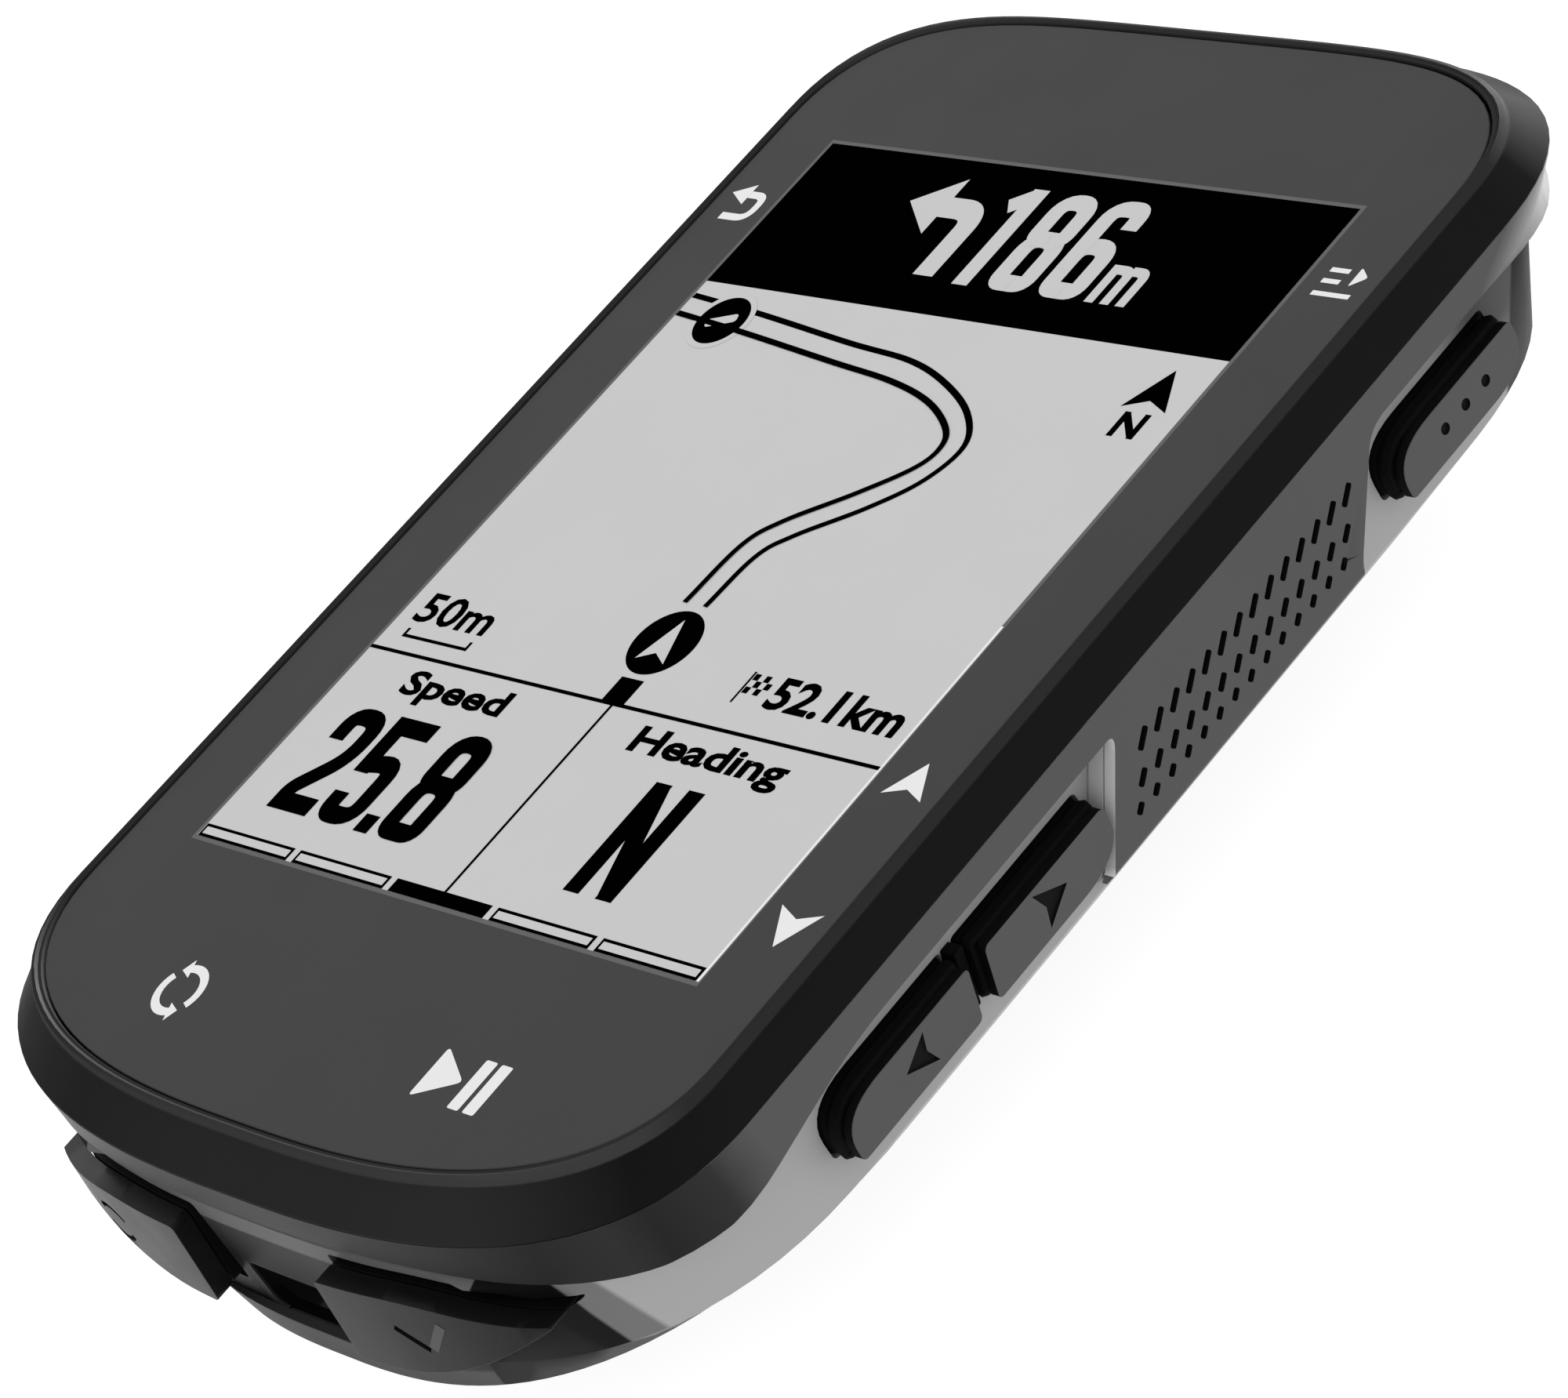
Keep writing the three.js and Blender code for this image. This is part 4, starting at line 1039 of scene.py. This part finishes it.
def label(name, text, x0, x1, y0, y1, mat, weight):
    """Generic display lettering fitted to a box."""
    curve = bpy.data.curves.new(name, "FONT")
    curve.body = text
    curve.offset = weight
    curve.resolution_u = 3
    obj = bpy.data.objects.new(name, curve)
    bpy.context.scene.collection.objects.link(obj)
    bpy.context.view_layer.update()
    graph = bpy.context.evaluated_depsgraph_get()
    mesh = bpy.data.meshes.new_from_object(obj.evaluated_get(graph))
    bpy.data.objects.remove(obj)
    bpy.data.curves.remove(curve)
    xs = [v.co.x for v in mesh.vertices]
    ys = [v.co.y for v in mesh.vertices]
    kx = (x1 - x0) / (max(xs) - min(xs))
    ky = (y1 - y0) / (max(ys) - min(ys))
    for v in mesh.vertices:
        v.co = place(x0 + (v.co.x - min(xs)) * kx, y0 + (v.co.y - min(ys)) * ky, INK * LABEL_LEVEL)
    out = bpy.data.objects.new(name, mesh)
    bpy.context.scene.collection.objects.link(out)
    return finish_piece(out, "case", mat)


LCD_X, LCD_Y = 19.05, 25.4
flat("window_edge", [rect(-19.3, 19.3, -25.65, 25.65)], FAINT, 0.5)
flat("window_glint", [rect(19.03, 19.2, -25.4, -3.0)], PRINT_AND_GLINT, 1.2)
flat("lcd_ground", [rect(-LCD_X, LCD_X, -LCD_Y, LCD_Y)], LCD_LIGHT, 1)
flat("lcd_header", [rect(-LCD_X, LCD_X, 14.75, LCD_Y)], LCD_BLACK, 2)

arrow_head = [(-10.0, 22.1), (-7.25, 20.0), (-7.25, 24.1)]
arrow_band = bend([(-7.4, 22.0), (-4.7, 22.0), (-4.7, 17.25)], 2.0, 10)
flat("turn_arrow", [arrow_head] + band_line(arrow_band, 1.45), LCD_LIGHT, 3)
header_digits = [("1", -3.1, 17.0, 2.0, 7.0), ("8", -0.15, 17.0, 3.1, 7.0), ("6", 3.5, 17.0, 3.1, 7.0)]
flat("header_digits", glyph_polys(header_digits, 1.12), LCD_LIGHT, 3)
flat("header_unit", glyph_polys([("m", 7.1, 17.1, 2.8, 2.65)], 0.62), LCD_LIGHT, 3)

ROAD_WIDTH = 0.36
outer_road = [(-19, 13.65), (-13.25, 13.1), (-5.5, 12.15), (-0.5, 11.65), (3, 10.6), (6, 9.0), (7.6, 7),
              (7, 4.5), (5, 2.2), (2, -0.3), (0.75, -2), (0.4, -5.5)]
inner_road = [(-19, 12.3), (-13.25, 11.7), (-5.5, 10.75), (-0.5, 10.15), (3, 9.25), (5.5, 7.85),
              (6.25, 6.6), (5.75, 5.1), (3.5, 2.9), (0.5, 0.4), (-0.75, -1.5), (-1.1, -5.5)]
flat("road", band_line(smooth_line(outer_road), ROAD_WIDTH)
     + band_line(smooth_line(inner_road), ROAD_WIDTH), LCD_BLACK, 3)
SIGN = (-15.45, 12.25)
flat("sign_clear", [disc(*SIGN, 2.05)], LCD_LIGHT, 4)
flat("sign_disc", [disc(*SIGN, 1.7)], LCD_BLACK, 5)
tilt = Matrix.Rotation(math.radians(21), 2)
bar = rounded([(-1.0, -.3, .25, .25), (1.0, -.3, .25, .25), (1.0, .3, .25, .25), (-1.0, .3, .25, .25)])
flat("sign_bar", [[tuple(Vector(SIGN) + tilt @ Vector(p)) for p in bar]], LCD_LIGHT, 6)
flat("position_disc", [disc(-0.1, -8.05, 2.12)], LCD_BLACK, 3)
flat("position_arrow", [[(-0.1, -6.5), (0.95, -9.3), (-0.1, -8.75), (-1.15, -9.3)]], LCD_LIGHT, 4)
flat("track_block", [rect(-0.9, 0.75, -12.15, -10.5)], LCD_BLACK, 3)
flat("rules", [rect(-LCD_X, LCD_X, -12.27, -12.05), rect(-0.04, 0.14, -24.6, -12.1)], LCD_BLACK, 3.5)
flat("compass_dart", [[(16.4, 13.7), (17.9, 11.0), (16.4, 11.6), (14.9, 11.0)]], LCD_BLACK, 3)
flat("compass_n", glyph_polys([("N", 15.5, 9.1, 1.75, 1.65)], 0.4), LCD_BLACK, 3)
label("scale_text", "50m", -18.0, -12.25, -10.15, -8.15, LCD_BLACK, 0.02)
flat("scale_bracket", [rect(-17.6, -17.4, -11.2, -10.6), rect(-12.6, -12.4, -11.2, -10.6),
                       rect(-17.6, -12.4, -11.2, -11.0)], LCD_BLACK, 3)
flag = [rect(7.0, 7.14, -10.5, -8.5)]
for row in range(3):
    for col in range(4):
        if (row + col) % 2 == 0:
            left, foot = 7.2 + 0.38 * col, -9.0 - 0.42 * row
            flag.append(rect(left, 7.58 + 0.38 * col, foot, -8.6 - 0.42 * row))
flat("flag", flag, LCD_BLACK, 3)
label("distance_text", "52.1km", 9.1, 18.25, -10.45, -8.4, LCD_BLACK, 0.03)
label("left_label", "Speed", -14.5, -6.5, -15.0, -12.9, LCD_BLACK, 0.03)
label("right_label", "Heading", 3.25, 14.15, -15.0, -12.9, LCD_BLACK, 0.03)
speed_digits = [("2", -16.25, -22.75, 3.15, 6.95), ("5", -12.65, -22.75, 3.15, 6.95),
                (".", -9.2, -22.75, 1.05, 1.1), ("8", -7.8, -22.75, 3.15, 6.95)]
flat("speed_digits", glyph_polys(speed_digits, 1.12), LCD_BLACK, 3)
flat("heading_letter", glyph_polys([("N", 6.9, -22.75, 3.5, 6.95)], 1.15), LCD_BLACK, 3)
segments, holes = [], []
PAGES = ((-19.0, -11.75), (-11.3, -4.05), (-3.6, 3.65), (4.1, 11.35), (11.8, 19.0))
PAGE_SHOWN = 2
for k, (x0, x1) in enumerate(PAGES):
    segments.append(rect(x0, x1, -25.4, -24.6))
    if k != PAGE_SHOWN:
        holes.append(rect(x0 + 0.18, x1 - 0.18, -25.22, -24.78))
flat("page_segments", segments, LCD_BLACK, 3)
flat("page_holes", holes, LCD_LIGHT, 4.5)

back_hook = bend([(-21.6, 21.05), (-20.35, 21.05), (-20.35, 19.35), (-22.4, 19.35)], 0.85, 8)
flat("icon_back", band_line(back_hook, 0.5) + [[(-23.0, 21.05), (-21.6, 20.3), (-21.6, 21.8)]], PRINT_AND_GLINT, 1)
menu_arrow = rounded([(22.95, 21.1, .2, .2), (22.15, 21.7, .15, .15), (22.15, 20.4, .15, .15)], 3)
flat("icon_menu", [rect(20.35, 21.6, 21.2, 21.5), rect(20.35, 21.5, 20.45, 20.75),
                   rect(20.35, 22.8, 19.6, 19.9), menu_arrow], PRINT_AND_GLINT, 1)
flat("icon_up", [[(21.6, -11.25), (22.9, -13.4), (21.6, -12.9), (20.25, -13.4)]], PRINT_AND_GLINT, 1)
flat("icon_down", [[(21.6, -22.65), (20.15, -20.4), (21.6, -20.95), (23.0, -20.4)]], PRINT_AND_GLINT, 1)


def arc(cx, cy, r, a0, a1, n=14):
    return [(cx + r * math.cos(math.radians(a0 + (a1 - a0) * i / n)),
             cy + r * math.sin(math.radians(a0 + (a1 - a0) * i / n))) for i in range(n + 1)]


def head(x, y, direction, size):
    """Arrowhead that points in a direction given in degrees."""
    d = Vector((math.cos(math.radians(direction)), math.sin(math.radians(direction))))
    n = Vector((-d.y, d.x))
    c = Vector((x, y))
    return [tuple(c + d * size), tuple(c - n * size * 0.95), tuple(c + n * size * 0.95)]


LOOP_X, LOOP_Y, LOOP_RADIUS = -10.95, -33.8, 1.35
loop_arrows = []
for start in (150, -30):
    loop_arrows += band_line(arc(LOOP_X, LOOP_Y, LOOP_RADIUS, start, start + 140), 0.48)
    turn = math.radians(start + 138)
    loop_arrows.append(head(LOOP_X + LOOP_RADIUS * math.cos(turn), LOOP_Y + LOOP_RADIUS * math.sin(turn),
                            start + 232, 0.6))
flat("icon_loop", loop_arrows, PRINT_AND_GLINT, 1)
play = rounded([(8.4, -32.25, .3, .3), (8.4, -35.25, .3, .3), (10.9, -33.75, .35, .35)], 4)
pause = [rounded([(x, -35.2, .12, .12), (x + .8, -35.2, .12, .12), (x + .8, -32.3, .12, .12),
                  (x, -32.3, .12, .12)], 3) for x in (11.2, 12.3)]
flat("icon_play", [play] + pause, PRINT_AND_GLINT, 1)

# ---------- other nodes ----------

NODE_FINISH = {
    "lens_adhesive": BLACK, "lcd_glass": LCD_LIGHT, "backlight": LCD_LIGHT,
    "display_flat_cable": FILM, "inner_chassis": BLACK, "housing_seal": RUBBER,
    "main_board": BOARD, "shield_can": METAL, "satellite_antenna": CERAMIC, "buzzer": BLACK,
    "battery_cell": FOIL, "usb_socket": METAL, "pressure_vent": RUBBER, "charging_door": RUBBER,
    "quarter_turn_mount": BLACK,
}
for name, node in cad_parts.items():
    mat = NODE_FINISH.get(name)
    if mat is None and name.endswith("_switch"):
        mat = METAL
    if mat is None and name.endswith("_plunger"):
        mat = BLACK
    if mat is None and "screw" in name:
        mat = STEEL
    if mat is None:
        continue
    node.data.materials.clear()
    node.data.materials.append(mat)

# ---------- floor, light, camera ----------

FLOOR_HALF = 1.5
FLOOR_DROP = 0.0002
FLOOR_GLOW = 0.9
SKY = 0.92
LENS_MM, SENSOR_MM = 137.175, 36.0
SHIFT = (-0.02231, -0.07075)
CAMERA_PLACE = (0.21509, -0.11243, 0.16581)


def floor_material():
    mat = material("floor", (0.3, 0.3, 0.3), 0.9, 0.0, mottle=0.004)
    shader = mat.node_tree.nodes["Principled BSDF"]
    shader.inputs["Emission Color"].default_value = (1, 1, 1, 1)
    shader.inputs["Emission Strength"].default_value = FLOOR_GLOW
    return mat


floor_mesh = bpy.data.meshes.new("floor")
floor_corners = [(-1, -1), (1, -1), (1, 1), (-1, 1)]
floor_mesh.from_pydata([(FLOOR_HALF * x, FLOOR_HALF * y, -FLOOR_DROP) for x, y in floor_corners],
                       [], [(0, 1, 2, 3)])
floor = bpy.data.objects.new("floor", floor_mesh)
bpy.context.scene.collection.objects.link(floor)
floor.data.materials.append(floor_material())

world = bpy.data.worlds.new("studio")
world.use_nodes = True
world.node_tree.nodes["Background"].inputs["Color"].default_value = (1, 1, 1, 1)
world.node_tree.nodes["Background"].inputs["Strength"].default_value = SKY
bpy.context.scene.world = world


def area(name, location, target, size, power):
    light = bpy.data.lights.new(name, "AREA")
    light.shape = "RECTANGLE"
    light.size, light.size_y = size
    light.energy = power
    obj = bpy.data.objects.new(name, light)
    bpy.context.scene.collection.objects.link(obj)
    obj.location = location
    direction = Vector(target) - Vector(location)
    obj.rotation_euler = direction.to_track_quat("-Z", "Y").to_euler()


area("key", (-0.25, 0.30, 0.55), (0, 0, 0.01), (0.5, 0.5), 0.35)
area("side", (0.55, 0.25, 0.25), (0, 0, 0.01), (0.4, 0.3), 0.3)

RIGHT = Vector((0.64876, 0.60607, -0.46020)).normalized()
FORWARD = Vector((-0.74861, 0.39963, -0.52904))
FORWARD = (FORWARD - RIGHT * FORWARD.dot(RIGHT)).normalized()
UP = RIGHT.cross(FORWARD)
camera_data = bpy.data.cameras.new("camera")
camera_data.lens = LENS_MM
camera_data.sensor_width = SENSOR_MM
camera_data.shift_x, camera_data.shift_y = SHIFT
camera_data.clip_start = 0.01
camera = bpy.data.objects.new("camera", camera_data)
bpy.context.scene.collection.objects.link(camera)
camera_matrix = Matrix((RIGHT, UP, -FORWARD)).transposed().to_4x4()
camera_matrix.translation = Vector(CAMERA_PLACE)
camera.matrix_world = camera_matrix
bpy.context.scene.camera = camera
bpy.context.scene.view_settings.view_transform = "Standard"
